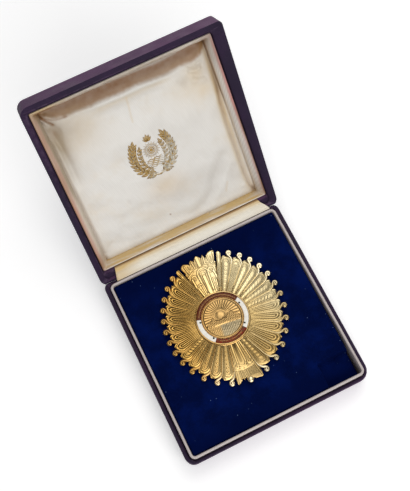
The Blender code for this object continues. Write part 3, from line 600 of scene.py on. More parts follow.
def reachNodes(tree, given, angle):
    shift = calc(tree, "COSINE", calc(tree, "RADIANS", calc(tree, "SUBTRACT", angle, given["Shift towards"])))
    lean = calc(tree, "RADIANS", calc(tree, "SUBTRACT", angle, given["Oval lean"]))
    reach = calc(tree, "MULTIPLY_ADD", shift, given["Shift"], given["Mean reach"])
    return calc(tree, "MULTIPLY_ADD", calc(tree, "COSINE", times(tree, lean, 2.0)), given["Oval"], reach)


def domeNodes(tree, given, radius):
    share = calc(tree, "MINIMUM", calc(tree, "DIVIDE", radius, given["Mean reach"]), 1.1)
    rise = times(tree, calc(tree, "SUBTRACT", 1.0, calc(tree, "POWER", share, 1.7)), given["Rise"])
    return calc(tree, "ADD", rise, given["Edge height"])


def ringPlace(tree, given, angle, radius, height):
    turned = calc(tree, "RADIANS", angle)
    x = calc(tree, "MULTIPLY_ADD", calc(tree, "SINE", turned), radius, given["Centre X"])
    y = calc(tree, "MULTIPLY_ADD", calc(tree, "COSINE", turned), radius, given["Centre Y"])
    return put(tree, "ShaderNodeCombineXYZ", {0: x, 1: y, 2: height}).outputs[0]


def named(tree, name, kind="FLOAT"):
    return put(tree, "GeometryNodeInputNamedAttribute", {"Name": name}, data_type=kind).outputs["Attribute"]


def paintAndEnd(tree, given, out, geometry):  # the last node of every tree
    painted = put(tree, "GeometryNodeSetMaterial", {"Geometry": geometry, "Material": given["Material"]})
    fill(tree, out, {"Geometry": painted.outputs[0]})


def bendShapes(tree, given, out, angle, radius, height):  # copies of the unit shapes on the star's ring
    shapes = put(tree, "GeometryNodeCollectionInfo", {
        "Collection": given["Shapes"], "Separate Children": True, "Reset Children": True})
    onPoints = put(tree, "GeometryNodeInstanceOnPoints", {
        "Points": given["Geometry"], "Instance": shapes.outputs[0], "Pick Instance": True,
        "Instance Index": named(tree, "look", "INT")})
    real = put(tree, "GeometryNodeRealizeInstances", {"Geometry": onPoints.outputs[0]})
    bent = put(tree, "GeometryNodeSetPosition", {
        "Geometry": real.outputs[0], "Position": ringPlace(tree, given, angle, radius, height)})
    paintAndEnd(tree, given, out, bent.outputs[0])


def spotOf(tree):
    return axesOf(tree, put(tree, "GeometryNodeInputPosition").outputs[0])


# a petal's unit shape: X across from 0 to 1, Y outwards as a share of the way to the ring of curls, Z relief
petalFan, given, out = newTree("petalFan", ringInputs, ("Shapes", "NodeSocketCollection"))
spot, angleFrom, angleTo = spotOf(petalFan), named(petalFan, "angleFrom"), named(petalFan, "angleTo")
angle = calc(petalFan, "MULTIPLY_ADD", calc(petalFan, "SUBTRACT", angleTo, angleFrom), spot["X"], angleFrom)
length = calc(petalFan, "SUBTRACT", reachNodes(petalFan, given, angle), given["Inner radius"])
radius = calc(petalFan, "MULTIPLY_ADD", spot["Y"], length, given["Inner radius"])
height = calc(petalFan, "ADD", domeNodes(petalFan, given, radius), spot["Z"])
bendShapes(petalFan, given, out, angle, radius, height)

# a curl's unit shape in metres: X across the way its row runs, Y outwards from its ring's centre
curlInputs = [("Low height", star["curlLow"] * mm), ("Sink", star["curlSink"] * mm)]
curlRing, given, out = newTree("curlRing", ringInputs + curlInputs, ("Shapes", "NodeSocketCollection"))
spot, angleFrom = spotOf(curlRing), named(curlRing, "angleFrom")
radius = calc(curlRing, "ADD", spot["Y"], reachNodes(curlRing, given, angleFrom))
across = calc(curlRing, "DEGREES", calc(curlRing, "DIVIDE", spot["X"], radius))
angle = calc(curlRing, "ADD", angleFrom, across)
sunk = calc(curlRing, "SUBTRACT", domeNodes(curlRing, given, radius), given["Sink"])
ground = calc(curlRing, "SMOOTH_MAX", given["Low height"], sunk, star["curlBlend"] * mm)
height = calc(curlRing, "ADD", ground, spot["Z"])
bendShapes(curlRing, given, out, angle, radius, height)


def shapesIn(name, pieces):  # takes unit shapes out of the scene into a collection that a tree picks from
    shapes = bpy.data.collections.new(name)
    for piece in pieces:
        bpy.context.scene.collection.objects.unlink(piece)
        shapes.objects.link(piece)
    return shapes


def pointsMesh(name, rows):  # one vertex for each instance, with its two angles and its look
    mesh = bpy.data.meshes.new(name)
    mesh.from_pydata([(0.0, 0.0, 0.0)] * len(rows), [], [])
    anglesFrom, anglesTo, looks = zip(*rows)
    storeValue(mesh, "angleFrom", anglesFrom)
    storeValue(mesh, "angleTo", anglesTo)
    mesh.attributes.new("look", "INT", "POINT").data.foreach_set("value", looks)
    return mesh


def addBall(vertices, faces, divisions=2):  # adds a ball's faces and returns the unit ball's points for them
    first = len(vertices)
    ball = bmesh.new()
    bmesh.ops.create_icosphere(ball, subdivisions=divisions, radius=1.0)
    ball.verts.index_update()
    points = [tuple(vert.co) for vert in ball.verts]
    faces += [tuple(first + vert.index for vert in face.verts) for face in ball.faces]
    ball.free()
    return points


def placeBall(vertices, faces, centre, radius, flat=1.0, divisions=2):
    for x, y, z in addBall(vertices, faces, divisions):
        vertices.append((centre[0] + x * radius, centre[1] + y * radius, centre[2] + z * radius * flat))


def ballPiece(name, centre, radius, flat, material, divisions=2):
    vertices, faces = [], []
    placeBall(vertices, faces, centre, radius, flat, divisions)
    piece = newPiece(name, vertices, faces, material)
    tidyMesh(piece.data)
    return piece


def slab(name, columns, rows, endShare, relief, sideInset, beads=()):
    # closed slab over a grid of columns (0 to 1) and rows (0 to 1 of the way to its own end)
    u, v = np.meshgrid(np.asarray(columns, float), np.asarray(rows, float), indexing="ij")
    tall, hollow = relief(u, v)
    vertices = pointRows(sideInset(u, v), v * endShare(u), tall * mm)
    nu, nv = u.shape
    at = np.arange(nu * nv).reshape(nu, nv).tolist()
    faces, border, low = gridFaces(nu, nv), gridBorder(nu, nv), {}
    for index in border:
        low[index] = len(vertices)
        vertices.append(vertices[index][:2] + [-star["plate"] * mm])
    for a, b in zip(border, border[1:] + border[:1]):
        faces.append((a, low[a], low[b], b))
    flats = [(at[0][j], at[0][j + 1], at[-1][j + 1], at[-1][j]) for j in range(1, nv - 2)]
    flats.append([column[0] for column in at] + [at[-1][1], at[0][1]])
    flats.append([column[-1] for column in at[::-1]] + [at[0][-2], at[-1][-2]])
    faces += [[low[index] for index in flat] for flat in flats]  # the flat back
    hollowAll = list(hollow.ravel()) + [0.8] * (len(vertices) - nu * nv)
    for bead in beads:  # each is centre u, v, radius mm, the width in mm that 1 across stands for, height mm
        u, v, radius, width, height = bead
        for x, y, z in addBall(vertices, faces):
            out = y * radius / (star["unitReach"] - star["inner"])
            vertices.append([u + x * radius / width, v + out, (height + z * radius * 0.85) * mm])
            hollowAll.append(float(np.clip(0.55 - z * 1.3, 0.0, 1.0)))
    piece = newPiece(name, vertices, faces, scale=1.0)
    storeValue(piece.data, "hollow", hollowAll)
    return piece


def evenReach(share):  # share of the reach turned into the unit shape's own Y
    return (star["unitReach"] * share - star["inner"]) / (star["unitReach"] - star["inner"])


petalCut = {
    "columns": 57, "tip": 0.957, "tipPlace": 0.16, "stemSide": 0.915, "arcStart": 0.80,
    "ridges": {  # place, width and height in each kind of cut
        "plain": ((0.40, 0.050, 0.19), (0.20, 0.044, 0.15)),
        "beaded": ((0.415, 0.042, 0.25), (0.275, 0.038, 0.20))},
    "lines": {"plain": (0.302, 0.102), "beaded": (0.346, 0.195)}, "lineWidth": 0.046,
    "channel": 0.19, "beads": 7, "pitch": 2.35,
}


def petalEnd(u):
    shares = [0.875, 0.925, petalCut["tip"], petalCut["tip"] - 0.004, 0.943, 0.930, petalCut["stemSide"], 0.885]
    return evenReach(np.interp(u, [0.0, 0.06, petalCut["tipPlace"], 0.30, 0.52, 0.72, 0.90, 1.0], shares))


def petalRelief(kind):
    def relief(u, v):
        lean = 0.5 - 0.07 * smooth(v, 0.70, 1.0)
        across = np.where(u < lean, (lean - u) / lean, (u - lean) / (1.0 - lean)) * 0.5
        along = np.clip((v - petalCut["arcStart"]) / (1.0 - petalCut["arcStart"]), 0.0, 1.0) * 0.49
        rho = np.hypot(across, along)
        cut = "plain" if kind == 3 else "beaded"
        tall = sum(height * bell(rho, place, width) for place, width, height in petalCut["ridges"][cut])
        tall += 0.12 * bell(rho, 0.0, 0.07) * smooth(v, 0.78, 0.84)
        corner = smooth(rho, 0.49, 0.56)
        tall += corner * (0.08 + 0.20 * bell(1.0 - v, 0.015, 0.02))
        sides = np.minimum(u, 1.0 - u)
        tall -= 0.40 * bell(sides, 0.0, 0.024) + 0.18 * bell(1.0 - v, 0.0, 0.012)
        side = (u - lean) * 2.0
        out = v * 24.5 / petalCut["pitch"]
        channel = smooth(petalCut["channel"] - rho, -0.01, 0.02) * smooth(v, 0.06, 0.12)
        channel = channel * (1.0 - smooth(v, 0.79, 0.83))
        dark = bell(rho, petalCut["lines"][cut][0], petalCut["lineWidth"])
        dark = np.maximum(dark, bell(rho, petalCut["lines"][cut][1], petalCut["lineWidth"]))
        if kind == 1:  # square pits with small studs between
            phase = np.abs((out % 1.0) - 0.5) * 2.0
            pit = smooth(phase, 0.42, 0.62) * smooth(0.135 - np.abs(u - lean), 0.0, 0.03)
            stud = (1.0 - smooth(phase, 0.12, 0.34)) * smooth(0.12 - np.abs(u - lean), 0.0, 0.05)
            motif = 0.16 * stud - 0.22 * pit
        elif kind == 2:  # slanted bars
            phase = np.abs(((out + side * 0.55) % 1.0) - 0.5) * 2.0
            motif = 0.20 * (1.0 - smooth(phase, 0.22, 0.52)) - 0.08 * smooth(phase, 0.6, 0.9)
        elif kind == 3:  # fine line with shallow notches
            motif = (0.20 - 0.07 * smooth(np.abs((out * 1.6 % 1.0) - 0.5), 0.34, 0.46)) * bell(side, 0.0, 0.095)
        else:
            motif = tall * 0.0 - 0.05
        tall += (0.55 if kind in (1, 2) else 1.0) * motif * channel
        if kind != 3:
            dark = np.maximum(dark, channel * np.clip(0.85 - motif * 9.0, 0.0, 0.9) * (0.62, 0.66, 0.50)[kind])
        hollow = np.maximum(dark, 0.20 - tall * 0.9)
        hollow = np.maximum(hollow * (1.0 - 0.6 * corner), bell(sides, 0.0, 0.046))
        strength = 0.45 + 0.55 * smooth(v, 0.0, 0.4)
        return tall * strength, hollow
    return relief


def petalShape(name, kind):
    columns = np.linspace(0.006, 0.994, petalCut["columns"])
    rows = np.concatenate([np.linspace(0.0, 0.12, 3), np.linspace(0.14, 0.78, 50 if kind else 16),
                           np.linspace(0.795, 1.0, 28)])
    beads = []
    if kind == 0:
        for index in range(petalCut["beads"]):
            t = index / (petalCut["beads"] - 1)
            y = 0.20 + 0.54 * t
            beads.append((0.5 - 0.02 * t, y, 0.48 + 0.36 * t, (14.0 + 28.0 * y) * 0.2, 0.16))
    beads.append((0.455, 0.845, 0.52, 7.4, 0.12))
    return slab(name, columns, rows, petalEnd, petalRelief(kind), lambda u, v: u, beads)


def strokeField(strokes, across, along):
    # strokes, each a line of (across, along) points with its width and height in mm, and their dark outlines
    field, outlines = np.zeros_like(across), np.zeros_like(across)
    for line, width, height in strokes:
        nearest = lineAway(across, along, line)[0]
        shape = 1.0 - smooth(nearest, width * 0.55, width)
        if height > 0:
            outlines = np.maximum(outlines * (1.0 - shape), bell(nearest, width + 0.16, 0.24))
            field = np.maximum(field, shape * height * 0.48)
        else:
            outlines = np.maximum(outlines, shape)
            field = field + shape * height * 0.62
    return field, outlines


def arc(x, y, radius, first, last, steps=10, stretch=1.0):
    places = []
    for step in range(steps + 1):
        angle = math.radians(first + (last - first) * step / steps)
        places.append((x + radius * math.cos(angle), y + radius * stretch * math.sin(angle)))
    return places


# ornament of the two panels in mm: across from the panel's middle line, and outwards from the star's centre
upperPanel = {
    "span": star["upperPanel"], "reach": 45.7, "slotDepth": 7.3, "columns": 136, "rows": 150,
    "ends": [(0.0, 0.965), (0.025, 1.00), (0.07, 1.022), (0.14, 1.026), (0.235, 0.985), (0.262, 0.955),
             (0.29, 0.990), (0.345, 1.015), (0.395, 0.985), (0.42, 0.965), (0.45, 1.005), (0.52, 1.035),
             (0.59, 1.005), (0.625, 0.970), (0.65, 0.99), (0.685, 1.02), (0.72, 0.985), (0.745, 0.945),
             (0.775, 0.99), (0.83, 1.025), (0.90, 1.045), (0.955, 1.052), (0.985, 1.045), (1.0, 1.015)],
    "strokes": [
        (arc(0.3, 34.0, 3.6, -10, 190, stretch=1.05), 0.75, 0.62),
        ([(-3.3, 33.4), (-3.0, 28.0), (-2.2, 21.0)], 0.72, 0.58),
        ([(3.8, 33.4), (3.4, 28.0), (2.6, 21.0)], 0.72, 0.58),
        (arc(0.3, 33.2, 1.9, 0, 180, stretch=1.1), 0.50, 0.45), ([(-1.5, 32.5), (-1.1, 20.0)], 0.50, 0.42),
        ([(2.0, 32.5), (1.5, 20.0)], 0.50, 0.42), ([(0.2, 31.5), (0.2, 18.0)], 1.25, 0.36),
        (arc(6.2, 34.6, 1.7, -60, 250), 0.62, 0.60), (arc(-6.6, 33.8, 1.6, -70, 210), 0.60, 0.55),
        ([(7.6, 33.4), (8.0, 28.0), (6.4, 19.0)], 0.70, 0.50),
        ([(-8.2, 33.6), (-7.4, 28.0), (-5.7, 19.0)], 0.65, 0.50), (arc(5.6, 27.0, 1.3, 20, 180), 0.45, 0.42),
        ([(4.4, 27.0), (3.9, 19.0)], 0.45, 0.42), ([(6.7, 26.8), (5.4, 19.0)], 0.45, 0.40),
        (arc(-5.0, 26.3, 1.5, 0, 170), 0.50, 0.45), ([(-3.6, 26.0), (-3.0, 19.0)], 0.45, 0.40),
        ([(-6.4, 26.0), (-4.8, 19.0)], 0.45, 0.40), (arc(0.3, 10.0, 28.6, 68, 113, 16), 0.55, 0.42),
        (arc(0.3, 10.0, 30.0, 68, 113, 16), 0.30, 0.30), ([(-9.8, 45.2), (-8.6, 39.2)], 0.55, 0.45),
        ([(-4.9, 43.5), (-6.2, 40.0), (-8.0, 38.6)], 0.50, 0.42), ([(12.2, 46.4), (10.6, 39.4)], 0.65, 0.50),
        ([(7.4, 45.4), (7.2, 41.5), (8.6, 39.2)], 0.50, 0.45), ([(9.4, 44.0), (9.2, 41.0)], 0.80, -0.40),
        ([(-7.4, 43.5), (-7.2, 41.2)], 0.70, -0.35), ([(0.4, 46.2), (0.4, 39.8)], 1.35, 0.50),
        ([(-3.9, 44.6), (-3.3, 39.8)], 0.55, 0.45), ([(-2.4, 43.6), (-2.1, 39.8)], 0.30, 0.40),
        ([(2.9, 43.6), (2.6, 39.8)], 0.30, 0.40), ([(4.9, 44.8), (4.2, 39.8)], 0.60, 0.48),
        ([(-1.5, 43.0), (-1.3, 39.8)], 0.22, -0.40), ([(1.95, 43.0), (1.75, 39.8)], 0.22, -0.40),
        ([(6.1, 44.6), (5.6, 39.8)], 0.25, -0.40),
    ],
    "beads": [(-1.2, 38.6, 0.5), (0.3, 38.7, 0.62), (1.8, 38.6, 0.5), (5.7, 37.9, 0.6), (-5.2, 37.9, 0.55),
              (6.2, 34.6, 0.45), (-6.6, 33.8, 0.45), (5.5, 24.6, 0.42), (5.9, 22.2, 0.38), (-4.9, 24.2, 0.42),
              (-4.6, 22.0, 0.38), (9.9, 38.0, 0.5)],
}
lowerPanel = {
    "span": star["lowerPanel"], "reach": 42.9, "slotDepth": 0.0, "columns": 120, "rows": 132,
    "ends": [(0.0, 0.89), (0.025, 0.99), (0.055, 1.045), (0.11, 1.050), (0.19, 1.035), (0.30, 1.025),
             (0.37, 1.000), (0.42, 1.00), (0.50, 1.00), (0.58, 0.985), (0.62, 0.955), (0.66, 0.965),
             (0.70, 0.985), (0.745, 0.955), (0.79, 0.985), (0.87, 1.02), (0.94, 1.045), (0.975, 1.00),
             (1.0, 0.88)],
    "strokes": [
        (arc(0.8, 31.0, 2.7, -5, 185, stretch=1.0), 0.70, 0.62),
        ([(-1.9, 31.0), (-1.7, 25.0), (-1.2, 18.0)], 0.62, 0.58),
        ([(3.5, 31.0), (3.0, 25.0), (2.3, 18.0)], 0.62, 0.58), ([(0.8, 30.0), (0.6, 18.0)], 1.30, -0.55),
        (arc(0.8, 31.0, 4.1, 20, 160, stretch=0.9), 0.42, 0.45), (arc(-4.2, 32.0, 1.4, -40, 240), 0.50, 0.50),
        (arc(5.0, 32.6, 1.3, -60, 220), 0.50, 0.50), ([(-5.5, 31.0), (-4.6, 25.0), (-3.4, 18.0)], 0.50, 0.45),
        ([(-3.6, 30.0), (-3.0, 24.0), (-2.4, 18.0)], 0.35, 0.40),
        ([(5.4, 30.0), (4.4, 24.0), (3.5, 18.0)], 0.40, 0.45),
        ([(6.9, 33.0), (5.6, 26.0), (4.2, 18.0)], 0.45, 0.45),
        ([(-8.4, 44.0), (-6.6, 36.0), (-5.8, 33.0)], 0.50, 0.45), ([(-6.9, 42.0), (-5.6, 36.0)], 0.32, 0.40),
        ([(-5.5, 41.5), (-4.6, 36.0)], 0.32, 0.40), ([(-4.2, 41.2), (-3.5, 36.0)], 0.32, 0.40),
        ([(-3.0, 41.0), (-2.5, 36.0)], 0.32, 0.40), ([(-1.7, 41.0), (-1.4, 36.0)], 0.32, 0.40),
        ([(-0.5, 41.0), (-0.4, 36.0)], 0.45, 0.45), ([(0.9, 41.0), (0.8, 36.0)], 0.45, 0.45),
        ([(2.6, 41.2), (2.2, 36.0)], 0.30, 0.42), ([(4.0, 41.5), (3.4, 36.0)], 0.45, 0.42),
        ([(5.2, 42.5), (4.6, 36.0)], 0.40, 0.42), ([(8.4, 44.0), (6.8, 36.0), (6.5, 34.0)], 0.55, 0.48),
        ([(6.9, 42.0), (6.0, 38.0)], 0.45, -0.30), (arc(0.4, 9.0, 26.6, 74, 106, 12), 0.42, 0.40),
    ],
    "beads": [(-4.2, 32.0, 0.42), (5.0, 32.6, 0.42), (-2.9, 34.6, 0.40), (-4.6, 28.0, 0.36), (-4.2, 25.6, 0.34),
              (-3.9, 23.2, 0.32), (6.0, 29.5, 0.34), (5.2, 26.2, 0.32), (0.8, 35.0, 0.48), (4.1, 34.9, 0.36)],
}


def panelShape(name, panel):
    first, last = panel["span"]
    width = math.radians(last - first)
    span = panel["reach"] - star["inner"]
    places = [line[0] for line in panel["ends"]]
    shares = [(panel["reach"] * line[1] - star["inner"]) / span for line in panel["ends"]]
    endShare = lambda u: np.interp(u, places, shares)
    slotStart = shares[3] - panel["slotDepth"] / span

    def inset(u, v):
        if not panel["slotDepth"]:
            return u
        along = v * endShare(u)
        cutIn = 0.040 - 0.020 * smooth(along, slotStart, 1.04)
        cutIn = cutIn * smooth(along, slotStart - 0.02, slotStart + 0.03)
        return cutIn + u * (1.0 - 2.0 * cutIn)

    def relief(u, v):
        radius = star["inner"] + v * endShare(u) * span
        across = (inset(u, v) - 0.5) * width * radius
        tall, outlines = strokeField(panel["strokes"], across, radius)
        sides = np.minimum(u, 1.0 - u)
        tall = np.maximum(tall, 0.28 * bell(sides, 0.020, 0.012))
        tall -= 0.5 * bell(sides, 0.0, 0.008) + 0.30 * bell(1.0 - v, 0.0, 0.010)
        ground = (1.0 - smooth(tall, 0.02, 0.12)) * (0.40 + 0.14 * np.sin(across * 9.0))
        hollow = np.maximum(np.maximum(outlines, ground * 0.75), np.clip(-tall * 3.0, 0.0, 1.0))
        return tall * (0.5 + 0.5 * smooth(v, 0.05, 0.3)) + 0.05, hollow

    beads = []
    for x, radius, size in panel["beads"]:
        beads.append((0.5 + x / (width * radius), (radius - star["inner"]) / span, size, width * radius, 0.10))
    columns = np.linspace(0.003, 0.997, panel["columns"])
    rows = np.linspace(0.0, 1.0, panel["rows"])
    return slab(name, columns, rows, endShare, relief, inset, beads)


def halfPetalShape(name):
    def endShare(u):
        return evenReach(np.interp(u, [0.0, 0.12, 0.35, 0.6, 0.85, 1.0],
                                   [0.985, 1.012, 1.018, 1.014, 0.998, 0.965]))

    def inset(u, v):
        cutIn = 0.13 * smooth(v * endShare(u), 0.66, 0.72)
        return cutIn + u * (1.0 - cutIn)

    def relief(u, v):
        tall = 0.24 * bell(u, 0.16, 0.10) + 0.24 * bell(u, 0.84, 0.10) - 0.5 * bell(u, 0.0, 0.05)
        tall -= 0.5 * bell(u, 1.0, 0.05)
        rod = 0.20 * bell(u, 0.50, 0.10) * (1.0 - smooth(v, 0.70, 0.80))
        tall += rod + 0.2 * bell(np.hypot((u - 0.5) * 0.16, v - 0.84), 0.0, 0.03)
        dark = np.maximum(bell(u, 0.32, 0.07), bell(u, 0.67, 0.07)) * (1.0 - smooth(v, 0.90, 0.96))
        return tall, np.maximum(0.9 * dark, np.clip(0.20 - tall * 1.5, 0.0, 1.0))

    return slab(name, np.linspace(0.01, 0.99, 26), np.linspace(0.0, 1.0, 44), endShare, relief, inset)


print("stage: star petals and panels")
petalShapes = [petalShape("shape" + str(kind), kind) for kind in range(4)]
shapes = shapesIn("starShapes", petalShapes + [halfPetalShape("shape4")])
for row in petalRows:
    side, end = row["ends"]
    edges = [side + row["turn"] * star["halfPetal"]]
    edges += [curlAngle(row, index) + row["turn"] * star["stemOffset"]
              for index in range(star["petals"] - 1)] + [end]
    fanPoints = pointsMesh("petalPoints", list(zip(edges, edges[1:], row["looks"])) + [(side, edges[0], 4)])
    petals = grow("star_petals_" + row["name"], fanPoints, petalFan, {"Shapes": shapes, "Material": chasedGold})
    tidyMesh(petals.data, sharp=55.0)
    settle(petals, "case", "gilt_metal", *row["covers"])
    print("petals", row["name"], len(petals.data.polygons))

shapes = shapesIn("panelShapes", [panelShape("shape0panel", upperPanel), panelShape("shape1panel", lowerPanel)])
panelPoints = pointsMesh("panelPoints", [star["upperPanel"] + (0,), star["lowerPanel"] + (1,)])
panels = grow("star_panels", panelPoints, petalFan, {"Shapes": shapes, "Material": chasedGold})
tidyMesh(panels.data, sharp=55.0)
settle(panels, "case", "gilt_metal")
print("panels", len(panels.data.polygons))


print("stage: star curls")
curl = {
    "path": [(1.42, -22.0, 0.20), (1.75, -17.5, 0.30), (2.10, -13.0, 0.38), (2.42, -9.0, 0.48),
             (2.58, -6.6, 0.60), (2.50, -4.9, 0.72), (1.85, -3.4, 0.82), (0.72, -2.15, 0.86),
             (-0.48, -1.25, 0.88), (-1.12, -0.18, 0.88), (-0.92, 0.85, 0.88), (-0.08, 1.24, 0.88),
             (0.84, 0.92, 0.88), (1.14, 0.08, 0.86), (0.82, -0.52, 0.80), (0.36, -0.36, 0.74)],
    "sides": 10, "between": 4, "ball": ((0.20, -0.10, 0.22), 1.12, 0.95),
}


def smoothPath(points, between):
    # Catmull-Rom through the points
    points = [np.asarray(point, float) for point in points]
    padded = [2 * points[0] - points[1]] + points + [2 * points[-1] - points[-2]]
    result = []
    for a, b, c, d in zip(padded, padded[1:], padded[2:], padded[3:]):
        for step in range(between):
            t = step / between
            cubic = 3 * b - a - 3 * c + d
            result.append(0.5 * (2 * b + (c - a) * t + (2 * a - 5 * b + 4 * c - d) * t * t + cubic * t ** 3))
    result.append(points[-1])
    return result


def tube(path, sides, heightShare=1.0):
    # round wire through (x, y, radius) or (x, y, z, radius) points, closed at both ends
    vertices, faces = [], []
    spots = [np.array([p[0], p[1], p[2] if len(p) == 4 else 0.0]) for p in path]
    sizes = [p[-1] for p in path]
    for index, spot in enumerate(spots):
        ahead = spots[min(index + 1, len(spots) - 1)] - spots[max(index - 1, 0)]
        ahead = ahead / (np.linalg.norm(ahead) + 1e-12)
        side = np.cross(ahead, (0.0, 0.0, 1.0))
        side = side / (np.linalg.norm(side) + 1e-12)
        upward = np.cross(side, ahead)
        for step in range(sides):
            angle = math.tau * step / sides
            vertices.append(spot + sizes[index]
                            * (side * math.cos(angle) + upward * math.sin(angle) * heightShare))
    faces += ringFaces(len(spots), sides, closed=False)
    for level, outward in ((0, -1), (len(spots) - 1, 1)):
        ahead = spots[level] - spots[level - outward]
        ahead = ahead / np.linalg.norm(ahead)
        vertices.append(spots[level] + ahead * sizes[level] * 0.7)
        tip = len(vertices) - 1
        for step in range(sides):
            faces.append((level * sides + step, level * sides + (step + 1) % sides, tip))
    return vertices, faces


def curlShape(name, mirror):
    vertices, faces = tube(smoothPath(curl["path"], curl["between"]), curl["sides"])
    placeBall(vertices, faces, *curl["ball"])
    return newPiece(name, [(v[0] * mirror, v[1], v[2]) for v in vertices], faces)


shapes = shapesIn("curlShapes", [curlShape("curl0", 1.0), curlShape("curl1", -1.0)])
curlPoints = []
for kind, row in enumerate(petalRows):
    curlPoints += [(curlAngle(row, index), 0.0, kind) for index in range(star["petals"])]
curls = grow("star_curls", pointsMesh("curlPoints", curlPoints), curlRing,
             {"Shapes": shapes, "Material": wireGold})
tidyMesh(curls.data, sharp=60.0)
settle(curls, "case", "gilt_metal")

tipBall = {"bearing": 182.0, "away": 43.1, "height": 21.75, "radius": 2.2, "flat": 0.6}
ballPlace = aroundStar(math.radians(tipBall["bearing"]), tipBall["away"]) + (tipBall["height"],)
settle(ballPiece("star_ball", ballPlace, tipBall["radius"], tipBall["flat"], wireGold, 3), "case", "gilt_metal")


# the medallion

medallion = {"seat": 24.92, "top": 26.67, "bezel": 17.9, "bezelInner": 17.0, "disc": 13.45, "face": 25.67,
             "enamelInner": 13.95, "enamelOuter": 16.9, "enamelTop": 26.52, "fieldGap": 0.7, "fieldStep": 1.5,
             "tilt": -8.0, "field": (0.25, 12.2), "rim": (12.3, 13.28), "turns": 288}


def turnedPiece(name, profile, steps, material, sharp=30.0):
    vertices, count = [], len(profile)
    for step in range(steps):
        angle = math.tau * step / steps
        vertices += [aroundStar(angle, r) + (z,) for r, z in profile]
    faces = []
    for step in range(steps):
        row, following = step * count, (step + 1) % steps * count
        for index in range(count):
            after = (index + 1) % count
            faces.append((row + index, row + after, following + after, following + index))
    piece = newPiece(name, vertices, faces, material)
    tidyMesh(piece.data, sharp)
    return piece


print("stage: medallion")
inner, outer, top, seat = medallion["bezelInner"], medallion["bezel"], medallion["top"], medallion["seat"]
bezelProfile = [(inner, seat), (outer + 0.25, seat), (outer + 0.30, seat + 0.35), (outer + 0.05, seat + 0.55),
                (outer - 0.02, seat + 0.9), (outer, top - 0.55), (outer - 0.14, top - 0.22),
                (outer - 0.34, top - 0.03), (outer - 0.58, top + 0.02), (inner + 0.12, top - 0.06),
                (inner, top - 0.25)]
bezel = turnedPiece("medallion_bezel_ring", bezelProfile, 160, bezelGold)
settle(bezel, "case", "gilt_metal", "medallion_bezel")


def discFields(x, y):
    # sunrise over ridges and still water inside a double rim, x and y in mm: heights, dark lines, and the share
    # of a painted cool reflection
    r = np.hypot(x, y)
    lean = math.radians(medallion["tilt"])
    x, y = 0.89 * (x * math.cos(lean) + y * math.sin(lean)), 0.89 * (y * math.cos(lean) - x * math.sin(lean))
    rim = 0.26 * smooth(r, 12.30, 12.60) + 0.10 * bell(r, 13.05, 0.24)
    rimLines = np.maximum(bell(r, 12.28, 0.22), 0.7 * bell(r, 12.85, 0.12))
    inside = 1.0 - smooth(r, 11.95, 12.2)
    away, bearing = np.hypot(x + 0.6, y - 1.9), np.arctan2(x + 0.6, y - 1.9)
    beam = np.cos(bearing * 36 + 0.25 * np.sin(away))
    rays = (0.09 + 0.09 * beam) * smooth(away, 3.0, 3.8)
    sun = 0.36 * np.sqrt(np.clip(1.0 - (away / 2.3) ** 2, 0.0, 1.0)) + 0.20 * bell(away, 2.9, 0.22)
    ridge = 1.0 - 0.85 * np.abs(x + 5.6) + 0.45 * np.sin(x * 1.9)
    ridge = np.maximum(ridge, 2.6 - 0.80 * np.abs(x - 5.2) + 0.40 * np.sin(x * 2.3))
    ridge = np.maximum(ridge, -0.2 - 0.45 * np.abs(x - 0.2) + 0.25 * np.sin(x * 3.1))
    land = smooth(ridge - y, -0.25, 0.35) * smooth(y, -3.6, -2.8)
    hatch = np.sin(x * 4.6 + y * 2.2) * np.sin(x * 1.3 - y * 3.1)
    facets = land * (0.28 + 0.16 * hatch)
    shore = bell(y + 3.1 - 0.04 * x, 0.0, 0.48) * smooth(5.6 - np.abs(x + 1.6), 0.0, 1.6)
    water = smooth(-3.5 - y, 0.0, 0.5)
    waves = 0.10 + 0.07 * np.sin(x * 6.4 + 0.6 * np.sin(y * 1.7))
    waves = waves + 0.05 * np.sin(y * 3.6 + 0.8 * np.sin(x * 0.8))
    field = np.maximum(np.maximum(sun, rays), facets) * (1.0 - water) + water * waves
    tall = rim + inside * np.maximum(field, 0.40 * shore)
    between = 0.75 * smooth(-beam, 0.1, 0.8) * smooth(away, 3.0, 3.8) * (1.0 - land)
    skyline = 0.85 * bell(ridge - y, -0.35, 0.22) * smooth(y, -3.4, -2.6)
    troughs = water * 0.55 * smooth(np.sin(x * 6.4 + 3.6), 0.1, 0.9)
    dark = np.maximum(np.maximum(between, skyline), 0.55 * land * smooth(-hatch, 0.0, 0.7))
    dark = dark * (1.0 - water) + troughs
    sunLines = 0.8 * bell(away, 2.6, 0.16) + 0.22 * smooth(2.4 - away, 0.0, 0.5)
    dark = dark * (1.0 - shore) + sunLines * (1.0 - land)
    # painted reflection: a cool grey-green patch on the right of the water
    coolReflection = water * inside * smooth(x, -3.5, -1.5)
    return tall, np.clip(1.14 * np.maximum(inside * dark, 0.80 * rimLines), 0.0, 1.0), coolReflection


